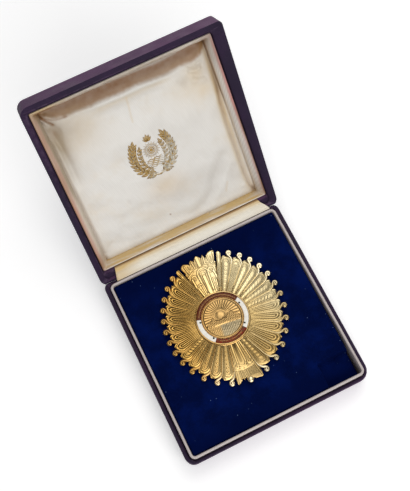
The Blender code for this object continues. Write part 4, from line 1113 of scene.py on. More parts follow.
radii = [np.linspace(*medallion["field"], 92), np.linspace(*medallion["rim"], 10), [medallion["disc"]]]
radii, turns = np.concatenate(radii), medallion["turns"]
around = np.arange(turns) * math.tau / turns
ringX, ringY = [np.concatenate([[0.0], np.outer(radii, wave(around)).ravel()]) for wave in (np.sin, np.cos)]
discTall, discDark, discReflection = discFields(ringX, ringY)
discTall[-turns:] -= 0.12
discPoints = list(zip(star["centre"][0] + ringX, star["centre"][1] + ringY, medallion["face"] + discTall))
discPoints += [(x, y, medallion["seat"]) for x, y, z in discPoints[-turns:]]
discFaces = [(0, 1 + index, 1 + (index + 1) % turns) for index in range(turns)]
for level in range(len(radii)):
    a, b = 1 + level * turns, 1 + (level + 1) * turns
    for index in range(turns):
        after = (index + 1) % turns
        discFaces.append((a + index, b + index, b + after, a + after))
discFaces.append([len(discPoints) - turns + index for index in range(turns)])
disc = newPiece("medallion_relief", discPoints, discFaces, discGold)
storeValue(disc.data, "hollow", np.concatenate([discDark, np.full(turns, 0.5)]))
storeValue(disc.data, "coolReflection", np.concatenate([0.65 * discReflection, np.zeros(turns)]))
tidyMesh(disc.data, sharp=45.0)
settle(disc, "case", "gilt_metal", "medallion_disc")

enamelLook = {  # two colours for each enamel
    "maroon": ((0.110, 0.018, 0.005, 1.0), (0.16, 0.050, 0.016, 1.0)),
    "red": ((0.24, 0.016, 0.005, 1.0), (0.11, 0.045, 0.012, 1.0)),
    "white": ((0.96, 0.92, 0.83, 1.0), (0.76, 0.73, 0.67, 1.0)),
    "green": ((0.010, 0.022, 0.016, 1.0), (0.03, 0.05, 0.035, 1.0)), "pits": (0.05, 0.03, 0.02, 1.0),
}


def enamelMaterial(name, colours, mottle):
    material, tree, shader = newMaterial(name, {
        "Roughness": 0.12, "Coat Weight": 0.08, "Coat Roughness": 0.04, "Specular IOR Level": 0.12})
    place = objectPlace(tree)
    cloud = spread(tree, noiseAt(tree, place, 0.55, 4.0), 0.35, 0.70)
    colour = blendColours(tree, times(tree, cloud, mottle), *colours)
    pits = spread(tree, noiseAt(tree, place, 2.6, 2.0), 0.72, 0.80)
    colour = layer(tree, colour, enamelLook["pits"], pits, 0.35)
    fill(tree, shader, {"Base Color": colour, "Roughness": spread(tree, cloud, 0.0, 1.0, 0.08, 0.20)})
    bumpInto(tree, shader, noiseAt(tree, place, 0.9, 2.0), 0.25, 0.06 * mm)
    return material


darkRed = enamelMaterial("maroonEnamel", enamelLook["maroon"], 0.7)
brightRed = enamelMaterial("redEnamel", enamelLook["red"], 1.0)
whiteEnamel = enamelMaterial("whiteEnamel", enamelLook["white"], 0.5)
greenEnamel = enamelMaterial("greenBlackEnamel", enamelLook["green"], 0.5)

enamelFields = [
    {"name": "red_upper", "first": -70.0, "last": 62.0, "material": darkRed, "slot": "red_enamel"},
    {"name": "white_right", "first": 62.0, "last": 140.0, "material": whiteEnamel, "slot": "white_enamel"},
    {"name": "red_lower", "first": 140.0, "last": 222.0, "material": brightRed, "slot": "red_enamel"},
    {"name": "white_left", "first": 222.0, "last": 290.0, "material": whiteEnamel, "slot": "white_enamel"},
]
a, b, z = medallion["enamelInner"], medallion["enamelOuter"], medallion["enamelTop"]
section = [(a, seat), (b, seat), (b, z - 0.30), (b - 0.12, z - 0.12), (b - 0.45, z - 0.01),
           ((a + b) / 2, z + 0.05), (a + 0.45, z - 0.01), (a + 0.12, z - 0.12), (a, z - 0.30)]
for field in enamelFields:
    turned, gap, points = field["last"] - field["first"], medallion["fieldGap"], []
    count = max(24, round(turned / medallion["fieldStep"]))
    for step in range(count + 1):
        angle = math.radians(field["first"] + 0.5 * gap + (turned - gap) * step / count)
        points += [aroundStar(angle, r) + (h,) for r, h in section]
    faces = ringFaces(count + 1, len(section), closed=False)
    faces += [list(range(len(section))), list(range(count * len(section), (count + 1) * len(section)))]
    piece = newPiece("enamel_field_" + field["name"], points, faces, field["material"])
    tidyMesh(piece.data, sharp=50.0)
    settle(piece, "case", field["slot"], "enamel_" + field["name"])

# rows of small gold grains: a ring between the enamel and the disc, and an arc on each red field
grainRows = [
    {"name": "enamel_grains_upper", "First": -64.0, "Last": 56.0, "Count": 40.0,
     "Grain": 0.34 * mm, "Radius": 15.3 * mm, "Height": 26.50 * mm},
    {"name": "enamel_grains_lower", "First": 152.0, "Last": 211.0, "Count": 20.0,
     "Grain": 0.34 * mm, "Radius": 15.3 * mm, "Height": 26.50 * mm},
    {"name": "medallion_grain_ring", "First": 0.0, "Last": 356.4, "Count": 100.0,
     "Grain": 0.40 * mm, "Radius": 13.72 * mm, "Height": 26.22 * mm},
]
rowInputs = [(label, value) for label, value in grainRows[0].items() if label != "name"]
grainRow, given, out = newTree("grainRow", centreInputs + rowInputs)
count = put(grainRow, "FunctionNodeFloatToInt", {0: given["Count"]}).outputs[0]
line = put(grainRow, "GeometryNodeMeshLine", {"Count": count, "Offset": (0.0, 0.0, 0.0)})
index = put(grainRow, "GeometryNodeInputIndex").outputs[0]
share = calc(grainRow, "DIVIDE", index, calc(grainRow, "SUBTRACT", given["Count"], 1.0))
angle = calc(grainRow, "MULTIPLY_ADD", calc(grainRow, "SUBTRACT", given["Last"], given["First"]), share,
             given["First"])
placed = put(grainRow, "GeometryNodeSetPosition", {
    "Geometry": line.outputs[0],
    "Position": ringPlace(grainRow, given, angle, given["Radius"], given["Height"])})
ball = put(grainRow, "GeometryNodeMeshIcoSphere", {"Radius": given["Grain"], "Subdivisions": 2})
onLine = put(grainRow, "GeometryNodeInstanceOnPoints",
             {"Points": placed.outputs[0], "Instance": ball.outputs[0]})
real = put(grainRow, "GeometryNodeRealizeInstances", {"Geometry": onLine.outputs[0]})
paintAndEnd(grainRow, given, out, real.outputs[0])
for row in grainRows:
    grains = grow(row["name"], bpy.data.meshes.new(row["name"]), grainRow, dict(row, Material=grainGold))
    tidyMesh(grains.data, sharp=60.0)
    settle(grains, "case", "gilt_metal")

# four dark studs near the ends of the white fields, placed by their angle in the ring
studs = {"bearings": (74.0, 130.0, 229.0, 283.0), "away": 14.75, "height": 26.45, "radius": 0.72, "flat": 0.35}
for index, bearing in enumerate(studs["bearings"]):
    centre = aroundStar(math.radians(bearing), studs["away"]) + (studs["height"],)
    stud = ballPiece("enamel_stud_" + str(index + 1), centre, studs["radius"], studs["flat"], greenEnamel)
    settle(stud, "case", "red_enamel")


# the case: leatherette shells, liner and velvet

print("stage: case")


def wornCopy(node, name, material, rimSide, unturn=None):
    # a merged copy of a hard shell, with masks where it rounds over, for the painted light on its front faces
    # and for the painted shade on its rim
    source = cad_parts[node]
    mesh = source.data.copy()
    mesh.materials.clear()
    mesh.materials.append(material)
    shape = bmesh.new()
    shape.from_mesh(mesh)
    bmesh.ops.remove_doubles(shape, verts=shape.verts, dist=1e-6)
    wear, paintedFrontLight, edge = [], [], []
    for vert in shape.verts:
        facing = sum((face.normal * face.calc_area() for face in vert.link_faces), Vector())
        facing = (unturn @ facing if unturn else facing).normalized()
        wear.append(float(smooth(1.0 - max(abs(part) for part in facing), 0.06, 0.26)))
        # painted light on the faces that look to the front, less towards the left; below it, painted shade on
        # the rim faces
        paintedFrontLight.append(float(smooth(-facing.y, 0.70, 0.97) * (0.60 + 0.40 * smooth(vert.co.x / mm, -62.0, 10.0))))
        edge.append(float(smooth(facing.z * rimSide, 0.60, 0.95)))
    shape.to_mesh(mesh)
    shape.free()
    storeMasks(mesh, {"wear": wear, "paintedFrontLight": paintedFrontLight, "edge": edge})
    mesh.shade_smooth()
    mesh.set_sharp_from_angle(angle=math.radians(32.0))
    piece = newObject(name, mesh)
    weighted = piece.modifiers.new("weighted", "WEIGHTED_NORMAL")
    weighted.keep_sharp = True
    applyModifiers(piece)
    return piece


trayShell = wornCopy("case_base", "case_base_cover", leatherette, 1.0)
settle(trayShell, "case", "leatherette", "case_base")
lidShell = wornCopy("case_lid", "case_lid_cover", leatherette, -1.0, openLid.to_3x3().inverted())
settle(lidShell, "lid", "leatherette", "case_lid")

lipLook = {"cream": (0.55, 0.485, 0.465, 1.0), "grime": (0.30, 0.24, 0.22, 1.0),
           "spots": (0.20, 0.14, 0.12, 1.0)}


def lipMaterial(name, look):
    material, tree, shader = newMaterial(name, {"Roughness": 0.36, "Coat Weight": 0.15, "Coat Roughness": 0.25})
    place = objectPlace(tree)
    age = useGroup(tree, ageGroup, {"Place": place, "Patch size mm": 9.0, "Amount": 0.8})
    grain = useGroup(tree, grainGroup, {"Place": place, "Cells per mm": 2.6})
    colour = blendColours(tree, times(tree, age["Stain"], 0.45), look["cream"], look["grime"])
    colour = layer(tree, colour, look["spots"], age["Spots"], 0.6)
    roughness = spread(tree, noiseAt(tree, place, 0.5, 3.0), 0.3, 0.7, 0.30, 0.46)
    fill(tree, shader, {"Base Color": colour, "Roughness": roughness})
    bumpInto(tree, shader, grain["Height"], 0.25, 0.05 * mm)
    return material


creamLip = lipMaterial("creamLining", lipLook)
lipShape = {
    "outerX": 61.5, "outerY": 63.5, "radius": 3.6, "wall": 1.7, "low": 4.3, "middle": 12.0, "top": 20.5,
    "round": 0.8,
}
wall, shoulder = lipShape["wall"], lipShape["top"] - lipShape["round"]
profile = [(0.0, lipShape["low"]), (0.0, lipShape["middle"]), (0.0, shoulder)]
for t in (0.5, 1.0, 1.571, 2.14, 2.64):
    profile.append((0.5 * wall * (1.0 - math.cos(t)), shoulder + lipShape["round"] * math.sin(t)))
profile += [(wall, shoulder), (wall, lipShape["middle"]), (wall, lipShape["low"])]
lipRings = []
for inset, height in profile:
    loop = roundedLoop(-lipShape["outerX"] + inset, lipShape["outerX"] - inset, -lipShape["outerY"] + inset,
                       lipShape["outerY"] - inset, lipShape["radius"] - inset, steps=8, straight=24)
    wobble = 0.10 if height > lipShape["middle"] else 0.0
    for x, y in loop:
        drift = noiseSpot(x * 0.05, y * 0.05, 3.0) * wobble
        lipRings.append((x + drift, y + drift * 0.6, height + drift * 0.8))
lipPiece = newPiece("base_lip_cloth", lipRings, ringFaces(len(profile), len(lipRings) // len(profile)), creamLip)
tidyMesh(lipPiece.data, sharp=50.0)
settle(lipPiece, "case", "cream_lining", "base_lip")

velvetBed = {
    "left": -59.5, "rightFront": 58.1, "rightBack": 59.5, "front": -61.5, "back": 61.5, "low": 4.3, "top": 19.0,
    "recessLeft": 37.0, "recessBack": -45.0, "recessFloor": 13.0, "round": 1.5, "soft": 0.75, "cell": 1.0,
}


def gridLines(low, high, recess):  # even cells, finer where the bed rounds over
    lines = set(np.round(np.linspace(low, high, int((high - low) / velvetBed["cell"]) + 1), 3))
    for centre in (low + 0.8, high - 0.8, recess):
        for step in (0.1, 0.3, 0.55, 0.8, 1.1, 1.6):
            lines |= {round(centre - step, 3), round(centre + step, 3)}
    return np.array(sorted(value for value in lines if low <= value <= high))


def rightSide(y):  # the bed narrows towards the front
    widening = (velvetBed["rightBack"] - velvetBed["rightFront"]) * (y - velvetBed["front"])
    return velvetBed["rightFront"] + widening / (velvetBed["back"] - velvetBed["front"])


def velvetHeight(x, y):
    right, soft = rightSide(y), velvetBed["soft"]
    edge = np.minimum.reduce([x - velvetBed["left"], right - x, y - velvetBed["front"], velvetBed["back"] - y])
    fall = np.clip(1.0 - edge / velvetBed["round"], 0.0, 1.0)
    z = velvetBed["top"] - (1.0 - np.sqrt(np.clip(1.0 - fall ** 2, 0.0, 1.0))) * velvetBed["round"]
    wander = 0.25 * np.sin(y * 0.9) + 0.15 * np.sin(y * 2.3)
    inX = smooth(x, velvetBed["recessLeft"] - soft + wander * 0.3, velvetBed["recessLeft"] + soft + wander * 0.3)
    inY = 1.0 - smooth(y, velvetBed["recessBack"] - soft, velvetBed["recessBack"] + soft)
    z = z + 0.22 * softNoise(x, y, 0.06, 1.0) * smooth(edge, 1.0, 6.0)
    return z - (velvetBed["top"] - velvetBed["recessFloor"]) * inX * inY


xs = gridLines(velvetBed["left"], velvetBed["rightBack"], velvetBed["recessLeft"])
ys = gridLines(velvetBed["front"], velvetBed["back"], velvetBed["recessBack"])
gx, gy = np.meshgrid(xs, ys, indexing="ij")
left = velvetBed["left"]
gx = left + (gx - left) * (rightSide(gy) - left) / (velvetBed["rightBack"] - left)
velvetPoints, velvetFaces = pointRows(gx, gy, velvetHeight(gx, gy)), gridFaces(*gx.shape)
closeGrid(velvetPoints, velvetFaces, gridBorder(*gx.shape), velvetBed["low"])
bed = newPiece("velvet_bed", velvetPoints, velvetFaces, velvet)
tidyMesh(bed.data, sharp=70.0)
settle(bed, "case", "velvet", "velvet_pad")


# the lid's satin: side lining, panel and hinge strip

print("stage: satin")
silkPanel = silkMaterial("satinPanel", silkLook)
silkSides = silkMaterial("satinSides", silkLook, 0.6, (0.86, 0.815, 0.765, 1.0), 0.16)
silkStrip = silkMaterial("satinStrip", silkLook, 0.4, (0.90, 0.85, 0.73, 1.0))


lining = {
    "edge": {"left": -60.5, "right": 61.1, "front": -62.0, "back": 57.5},
    "foot": {"left": -55.4, "right": 57.0, "front": -57.4, "back": 55.5},
    "edgeTop": 20.9, "footTop": 29.2, "behind": 32.4, "bulge": 0.8, "corner": 8, "straight": 84, "slope": 16,
    "rim": [(0.0, 1.0, 32.4), (0.0, 1.0, 21.7), (0.12, 1.0, 21.1), (0.38, 0.9, 20.9)],  # inset, radius, height
    "threadStep": 0.45,
}


def liningLoop(sides, inset, radius):
    return roundedLoop(sides["left"] + inset, sides["right"] - inset, sides["front"] + inset,
                       sides["back"] - inset, radius, steps=lining["corner"], straight=lining["straight"])


def lidCloth(name, points, faces, material, masks, places):  # shaped in the closed lid, kept in the open one
    piece = newPiece(name, points, faces, material)
    storeMasks(piece.data, masks)
    storePlace(piece.data, "silkPlace", places)
    piece.data.transform(openLid)
    return piece


def bandEnd(x):  # where the painted brown shadow band ends against the front strip
    line = [(-55.0, -60.0), (-45.0, -59.2), (-30.0, -57.2), (-10.0, -56.2), (10.0, -55.3), (25.0, -54.8),
            (38.0, -55.6), (50.0, -57.8), (57.0, -59.0)]
    return np.interp(x, *zip(*line))


def liningMasks(x, y, t):  # what colours each of the four padded strips, t from the rim to the panel: tints, and painted shade and shadow
    edge = lining["edge"]
    share = np.exp(-np.stack([y - edge["front"], edge["right"] - x, edge["back"] - y, x - edge["left"]]) / 2.2)
    front, right, back, left = share / share.sum(0)
    rough = 0.5 + 0.5 * softNoise(x, y, 0.35, 11.0)
    wave = 0.24 * np.sin(x * 0.21) + 0.15 * np.sin(x * 0.47 + 1.0)
    nearFront, farFront, nearBack = smooth(-y, -12.0, 12.0), smooth(-y, 32.0, 48.0), smooth(y, 40.0, 56.0)
    streak = softNoise(x * 0.06, t * 3.2, 1.0, 5.0)
    return {
        "pink": left * (bell(t, 0.0, 0.30) * (0.80 + 0.5 * softNoise(x, y, 0.05, 3.0))
                        + 0.62 * nearFront * bell(t, 0.45, 0.35))
        + right * (0.55 + 0.35 * nearFront) * bell(t, 0.0, 0.18),
        "shade": front * (0.44 + 0.36 * rough + 0.24 * smooth(t, 0.15, 0.50) - 0.30 * bell(x, 44.0, 9.0))
        + right * (0.05 * rough + 0.26 * farFront) + 0.1 * back
        + left * (0.80 * smooth(t, 0.36, 0.62) * (0.45 + 0.45 * nearFront) + 0.36 * nearFront + 0.10),
        # ochre: a tan tint on the back strip, and painted shade at the front strip's left end
        "ochreStainAndShade": back * (0.72 + 0.42 * t + 0.9 * streak) * smooth(t, -0.06, 0.10) + 0.22 * left
        + 0.30 * right * smooth(t, 0.5, 0.9) + front * (0.2 * rough + 0.6 * bell(x, -56.0, 14.0)),
        # brown: painted shadow and shade, the front wall's band and its darker left end, the right strip's foot,
        # the ends of the side strips, dark lines along the right and left rims and at the back gap
        "brownShadeAndStain": front * (0.85 * smooth(y - bandEnd(x) + wave, -0.9, 0.9) * smooth(t, 0.1, 0.4)
                          + 0.30 * smooth(x, 50.0, 58.0))
        + front * 0.85 * bell(x, -54.0, 12.0) * smooth(t, 0.1, 0.3) + right * (0.10 * farFront + 0.48 * nearBack)
        + right * smooth(t, 0.74, 0.96) * (0.25 + 0.60 * smooth(-y, 5.0, 22.0))
        + 0.85 * smooth(x, 59.9, 60.8) * smooth(y, -18.0, 0.0)
        + back * (0.90 * smooth(y, 57.05, 57.40) + 0.15 * smooth(t, 0.85, 1.0))
        + left * (0.20 * smooth(t, 0.9, 1.0) + 0.75 * (1.0 - smooth(x, -60.6, -59.3)) + 0.58 * nearBack),
    }


liningPoints, liningT, liningPlace = [], [], []


def addLiningRing(ring, t, threadsAlong):
    liningPoints.extend(ring)
    liningT.extend([t] * len(ring))
    liningPlace.extend((index * lining["threadStep"], threadsAlong, 0.0) for index in range(len(ring)))


for inset, radius, height in lining["rim"]:
    addLiningRing([(x, y, height) for x, y in liningLoop(lining["edge"], inset, radius)], 0.0, height)
edgeIn, footLoop = liningLoop(lining["edge"], 0.75, 0.9), liningLoop(lining["foot"], 0.0, 0.5)
count = len(footLoop)
for step in range(lining["slope"] + 1):
    t, ring = step / lining["slope"], []
    swell = lining["bulge"] * math.sin(math.pi * t) ** 0.8
    z = lining["edgeTop"] + 0.1 + (lining["footTop"] - lining["edgeTop"] - 0.1) * t
    for a, b in zip(edgeIn, footLoop):
        a, b = Vector(a), Vector(b)
        x, y = a.lerp(b, t)
        inward = (b - a).normalized() if (b - a).length > 1e-6 else Vector((0.0, 0.0))
        ripple = noiseSpot(x * 0.11, y * 0.11, 2.0) + 0.4 * noiseSpot(x * 0.4, y * 0.4, 7.0)
        full = swell * (1.0 + 0.7 * ripple)
        x, y = a.lerp(b, t) + inward * full * 0.85
        ring.append((x, y, z - full * 0.5))
    addLiningRing(ring, t, z * 1.2)
addLiningRing([(x, y, lining["behind"]) for x, y in footLoop], 1.0, lining["behind"])
x, y, z = np.array(liningPoints).T
sideLining = lidCloth("lid_side_satin", liningPoints, ringFaces(len(liningPoints) // count, count), silkSides,
                      liningMasks(x, y, np.array(liningT)), liningPlace)
tidyMesh(sideLining.data, sharp=60.0)
settle(sideLining, "lid", "satin", "lid_side_lining")

panelPad = {
    "left": -55.1, "right": 56.7, "front": -57.1, "back": 55.2, "behind": 32.4, "surface": 29.3, "cells": 168,
    "touch": 0.31,
    "creases": [  # line, depth or height in mm, half width in mm
        ([(-56.5, -57.0), (-53.6, -52.0), (-50.4, -47.6), (-48.6, -45.6)], -1.25, 0.85),
        ([(-55.5, -54.0), (-53.6, -50.4), (-51.8, -47.6)], 1.45, 1.20),
        ([(-52.6, -54.6), (-48.6, -50.6), (-45.4, -48.6)], 1.10, 1.50),
        ([(-54.0, -46.5), (-52.2, -40.0), (-51.0, -30.0), (-50.6, -18.0), (-50.8, 0.0)], -0.75, 2.10),
        ([(-53.6, -40.0), (-53.6, -20.0), (-53.4, 0.0), (-53.4, 25.0), (-53.0, 40.0)], 0.50, 1.10),
        ([(-46.0, -44.0), (-44.5, -30.0), (-45.5, -12.0)], 0.35, 3.40),
        ([(-44.0, -47.2), (-35.0, -47.9), (-23.0, -46.4), (-5.0, -45.8), (10.0, -46.2), (28.0, -44.9),
          (37.0, -45.7), (44.0, -46.0)], 0.70, 1.50),
        ([(-30.0, -43.4), (-8.0, -42.4), (12.0, -42.6), (30.0, -41.2)], -0.55, 2.00),
        ([(-24.0, -38.6), (-6.0, -37.6), (14.0, -38.0), (26.0, -36.4)], 0.30, 2.60),
        ([(57.0, -56.0), (51.0, -50.0), (45.5, -46.5)], 0.65, 1.50),
        ([(41.5, -45.6), (46.0, -43.8), (50.6, -44.4), (52.0, -46.4)], -0.85, 0.85),
        ([(40.5, -43.0), (45.5, -40.6), (50.5, -41.8)], 0.95, 1.25),
        ([(43.0, -38.6), (46.4, -36.2), (51.6, -35.6)], -0.45, 1.30),
        ([(41.0, -36.4), (46.0, -33.6), (51.0, -33.4)], 0.50, 2.20),
        ([(32.0, -40.0), (37.0, -36.0), (43.0, -29.0)], -0.35, 2.20),
        ([(48.0, 26.0), (42.0, 34.0), (36.0, 42.5), (27.0, 49.5)], 0.40, 3.20),
        ([(40.3, 40.0), (37.5, 46.0)], -0.22, 0.70),
        ([(-1.1, -43.5), (-2.0, -35.0), (-3.3, -27.5)], -0.16, 0.70),
        ([(-54.0, 52.0), (-50.0, 47.0), (-46.0, 44.0)], -0.40, 1.60),
        ([(55.5, 53.5), (52.0, 49.0), (49.0, 46.5)], 0.40, 1.60),
    ],
    "groove": [(57.2, -56.0), (56.8, -40.0), (56.0, -25.0), (54.4, -14.0), (53.5, 0.0), (53.4, 10.0),
               (53.5, 40.0), (54.5, 50.0), (56.6, 55.0)],
    "diagonal": [(45.0, 17.0), (41.7, 22.0), (37.0, 29.0), (32.8, 34.0), (28.5, 41.0), (20.7, 47.0),
                 (11.3, 50.4)],
    # the edge of the painted shadow band below the lid's front wall
    "shadowBandEdge": [(-58.0, -57.0), (-55.0, -54.6), (-47.0, -50.4), (-41.0, -48.6), (-35.3, -48.9), (-23.7, -47.9),
                  (-16.6, -48.3), (-5.0, -47.6), (7.0, -48.1), (17.0, -47.3), (27.0, -46.6), (37.0, -47.6),
                  (46.0, -47.2), (52.4, -49.2), (55.0, -51.5), (58.0, -54.5)],
}


def panelSurface(x, y):
    # height of the satin towards the rim above its general level
    left, right = x - panelPad["left"], panelPad["right"] - x
    front, back = y - panelPad["front"], panelPad["back"] - y
    z = -0.75 * (1.0 - smooth(left, -0.3, 2.4))
    z = z - (0.35 + 0.95 * smooth(-y, 12.0, 26.0)) * (1.0 - smooth(right, -0.3, 4.6))
    z = z - 1.60 * (1.0 - smooth(front, -0.3, 9.0)) - 0.18 * (1.0 - smooth(back, -0.3, 1.6))
    z = z - 0.85 * bell(lineAway(x, y, panelPad["groove"])[0], 0.0, 1.3)
    inside = smooth(left, 0.0, 4.0) * smooth(right, 0.0, 4.0) * smooth(front, 0.0, 6.0) * smooth(back, 0.0, 4.0)
    crown = smooth(left, -4.0, 20.0) * smooth(right, -4.0, 20.0) * smooth(front, 0.0, 26.0)
    crown = crown * smooth(back, -4.0, 18.0)
    uneven = 0.42 * softNoise(x, y, 0.040, 4.0) + 0.20 * softNoise(x, y, 0.10, 9.0)
    uneven = uneven + 0.03 * softNoise(x, y, 0.35, 13.0)
    z = z + 0.75 * crown - 0.25
    z = z + inside * uneven
    for line, height, halfWidth in panelPad["creases"] + [(panelPad["diagonal"], -0.50, 3.8)]:
        away, share = lineAway(x, y, line)
        fold = height * bell(away, 0.0, halfWidth) * smooth(share, -0.02, 0.12)
        z = z + fold * (1.0 - smooth(share, 0.80, 1.02))
    return z


def panelMasks(x, y):
    def near(line, width):
        return bell(lineAway(x, y, line)[0], 0.0, width)

    def spots(*rows):  # share, centre x, y, half width and length
        return sum(row[0] * blot(x, y, *row[1:]) for row in rows)

    # painted shadow of the lid's front wall: a brown band with a softer ochre edge (glow), and painted shade in
    # the right groove
    wobble = 0.35 * softNoise(x, y, 0.5, 21.0)
    beyond = np.interp(x, *zip(*panelPad["shadowBandEdge"])) - y + wobble
    stripShare = smooth(bandEnd(x) - y + wobble, -0.5, 1.3)
    frontBand = smooth(beyond, -1.8, 2.0) * (1.0 - 0.60 * stripShare)
    glow = bell(beyond, 2.6, 2.6)
    groove, along = lineAway(x, y, panelPad["groove"])
    grooveShare = 0.34 + 0.28 * bell(y, -20.0, 12.0) - 0.22 * smooth(-y, 32.0, 50.0)
    leftFront = (1.0 - smooth(x, -52.0, -43.0)) * smooth(-y, -5.0, 22.0)
    leftBack = bell(x, panelPad["left"], 5.0) * smooth(y, 36.0, 52.0)
    nearLeft, nearRight = bell(x, panelPad["left"], 7.0), bell(x, panelPad["right"], 9.0)
    nearBack, frontRidge = bell(y, panelPad["back"], 7.0), bell(y, -43.2, 1.8)
    return {
        # pink: a faint pinkish stain, and a tint in the painted shadow band and the dark corner at the front
        # right
        "pink": spots((0.05, 2.0, 24.0, 13.0, 9.0), (0.20, 56.0, -54.0, 3.0, 3.0))
        + 0.30 * frontBand * bell(x, 50.0, 9.0) + 0.10 * bell(x, -54.6, 0.8),
        "shade": spots((0.16, -45.0, -42.0, 11.0, 7.0), (0.95, -50.8, -41.2, 3.4, 5.0),
                       (0.32, -47.5, -28.0, 5.5, 15.0), (0.22, -38.0, -35.0, 15.0, 12.0),
                       (0.10, 26.0, -4.0, 14.0, 16.0), (0.20, -44.0, -40.0, 9.0, 8.0),
                       (0.28, 36.5, -37.5, 4.0, 3.6), (0.12, -25.0, 22.4, 2.0, 2.0),
                       (0.10, -33.5, 30.3, 3.0, 2.4), (0.17, 10.0, 30.0, 24.0, 12.0),
                       (0.26, -53.5, -34.0, 2.6, 13.0), (0.30, 54.9, 10.0, 1.6, 26.0))
        + 0.48 * stripShare + 0.07 * smooth(-y, 25.0, 45.0) + 0.22 * leftFront + 0.20 * leftBack
        + 0.45 * near([(-51.0, -40.0), (-50.6, -28.0), (-50.2, -14.0)], 2.4) * smooth(-y, 14.0, 34.0)
        + 0.15 * near(panelPad["diagonal"], 3.6) + 0.36 * bell(x, -54.9, 0.8)
        + 0.20 * frontRidge * smooth(26.0 - np.abs(x), 0.0, 8.0)
        + 0.04 * nearLeft + nearRight * (0.08 + 0.10 * smooth(-y, 5.0, 25.0)) + 0.06 * nearBack
        + 0.10 * smooth(softNoise(x, y, 0.05, 31.0), 0.05, 0.5),
        # ochre: age stains, and painted shade along the shadow band's edge, beside the groove, along creases and
        # near the sides
        "ochreStainAndShade": spots((0.22, -38.0, -34.0, 17.0, 14.0), (0.20, 38.0, -33.0, 15.0, 13.0),
                       (0.34, 1.0, 23.0, 11.0, 8.0), (0.16, -19.0, 37.0, 6.0, 5.0),
                       (0.26, 47.0, -27.0, 6.0, 4.5), (0.25, 45.0, -40.0, 5.0, 6.0),
                       (0.12, -42.0, 10.0, 4.0, 3.0), (0.20, 54.9, -4.0, 1.8, 20.0))
        + frontBand * (0.12 * bell(x, -38.0, 15.0) + 0.45 * glow) + 0.10 * nearLeft + 0.12 * nearRight
        + 0.22 * frontRidge * smooth(30.0 - np.abs(x - 2.0), 0.0, 10.0)
        + 0.45 * bell(groove, 1.2, 1.6) * (0.55 + 0.45 * blot(along, along * 0.0, 0.22, 0.0, 0.2, 1.0))
        + 0.22 * (1.0 - smooth(panelPad["back"] - y, 0.0, 1.0))
        + 0.30 * near([(-1.2, -43.0), (-3.4, -27.0)], 0.6)
        + 0.25 * near([(40.3, 40.0), (37.5, 46.0)], 0.7),
        # brown: painted shadow, the front wall's band, the groove, the fold lines and patch in the front left
        # corner and the two back corners; one small dark speck of dirt
        "brownShadeAndStain": frontBand * (0.90 + 0.10 * bell(x, -4.0, 26.0) - 0.12 * glow)
        + grooveShare * bell(groove, 0.0, 1.1)
        + 0.80 * near([(-56.5, -57.0), (-53.6, -52.0), (-49.6, -46.6)], 0.8)
        + 0.45 * near([(-55.4, -53.4), (-49.6, -50.4), (-45.0, -48.6), (-40.0, -48.4)], 0.7)
        + spots((0.30, -51.2, -41.0, 2.6, 3.6), (0.95, -3.8, 44.1, 0.55, 0.55), (0.55, -56.5, 55.0, 2.2, 2.6),
                (0.38, 56.5, 54.0, 2.8, 3.4)),
    }


looseness = {
    "held": (0.20, 0.30), "slack": (0.002, 0.040), "bending": 20.0, "pressure": 0.3, "quality": 6, "frames": 30,
    "larger": 10.0, "most": 0.55,  # simulated this much larger, and the most that it may add in mm
}


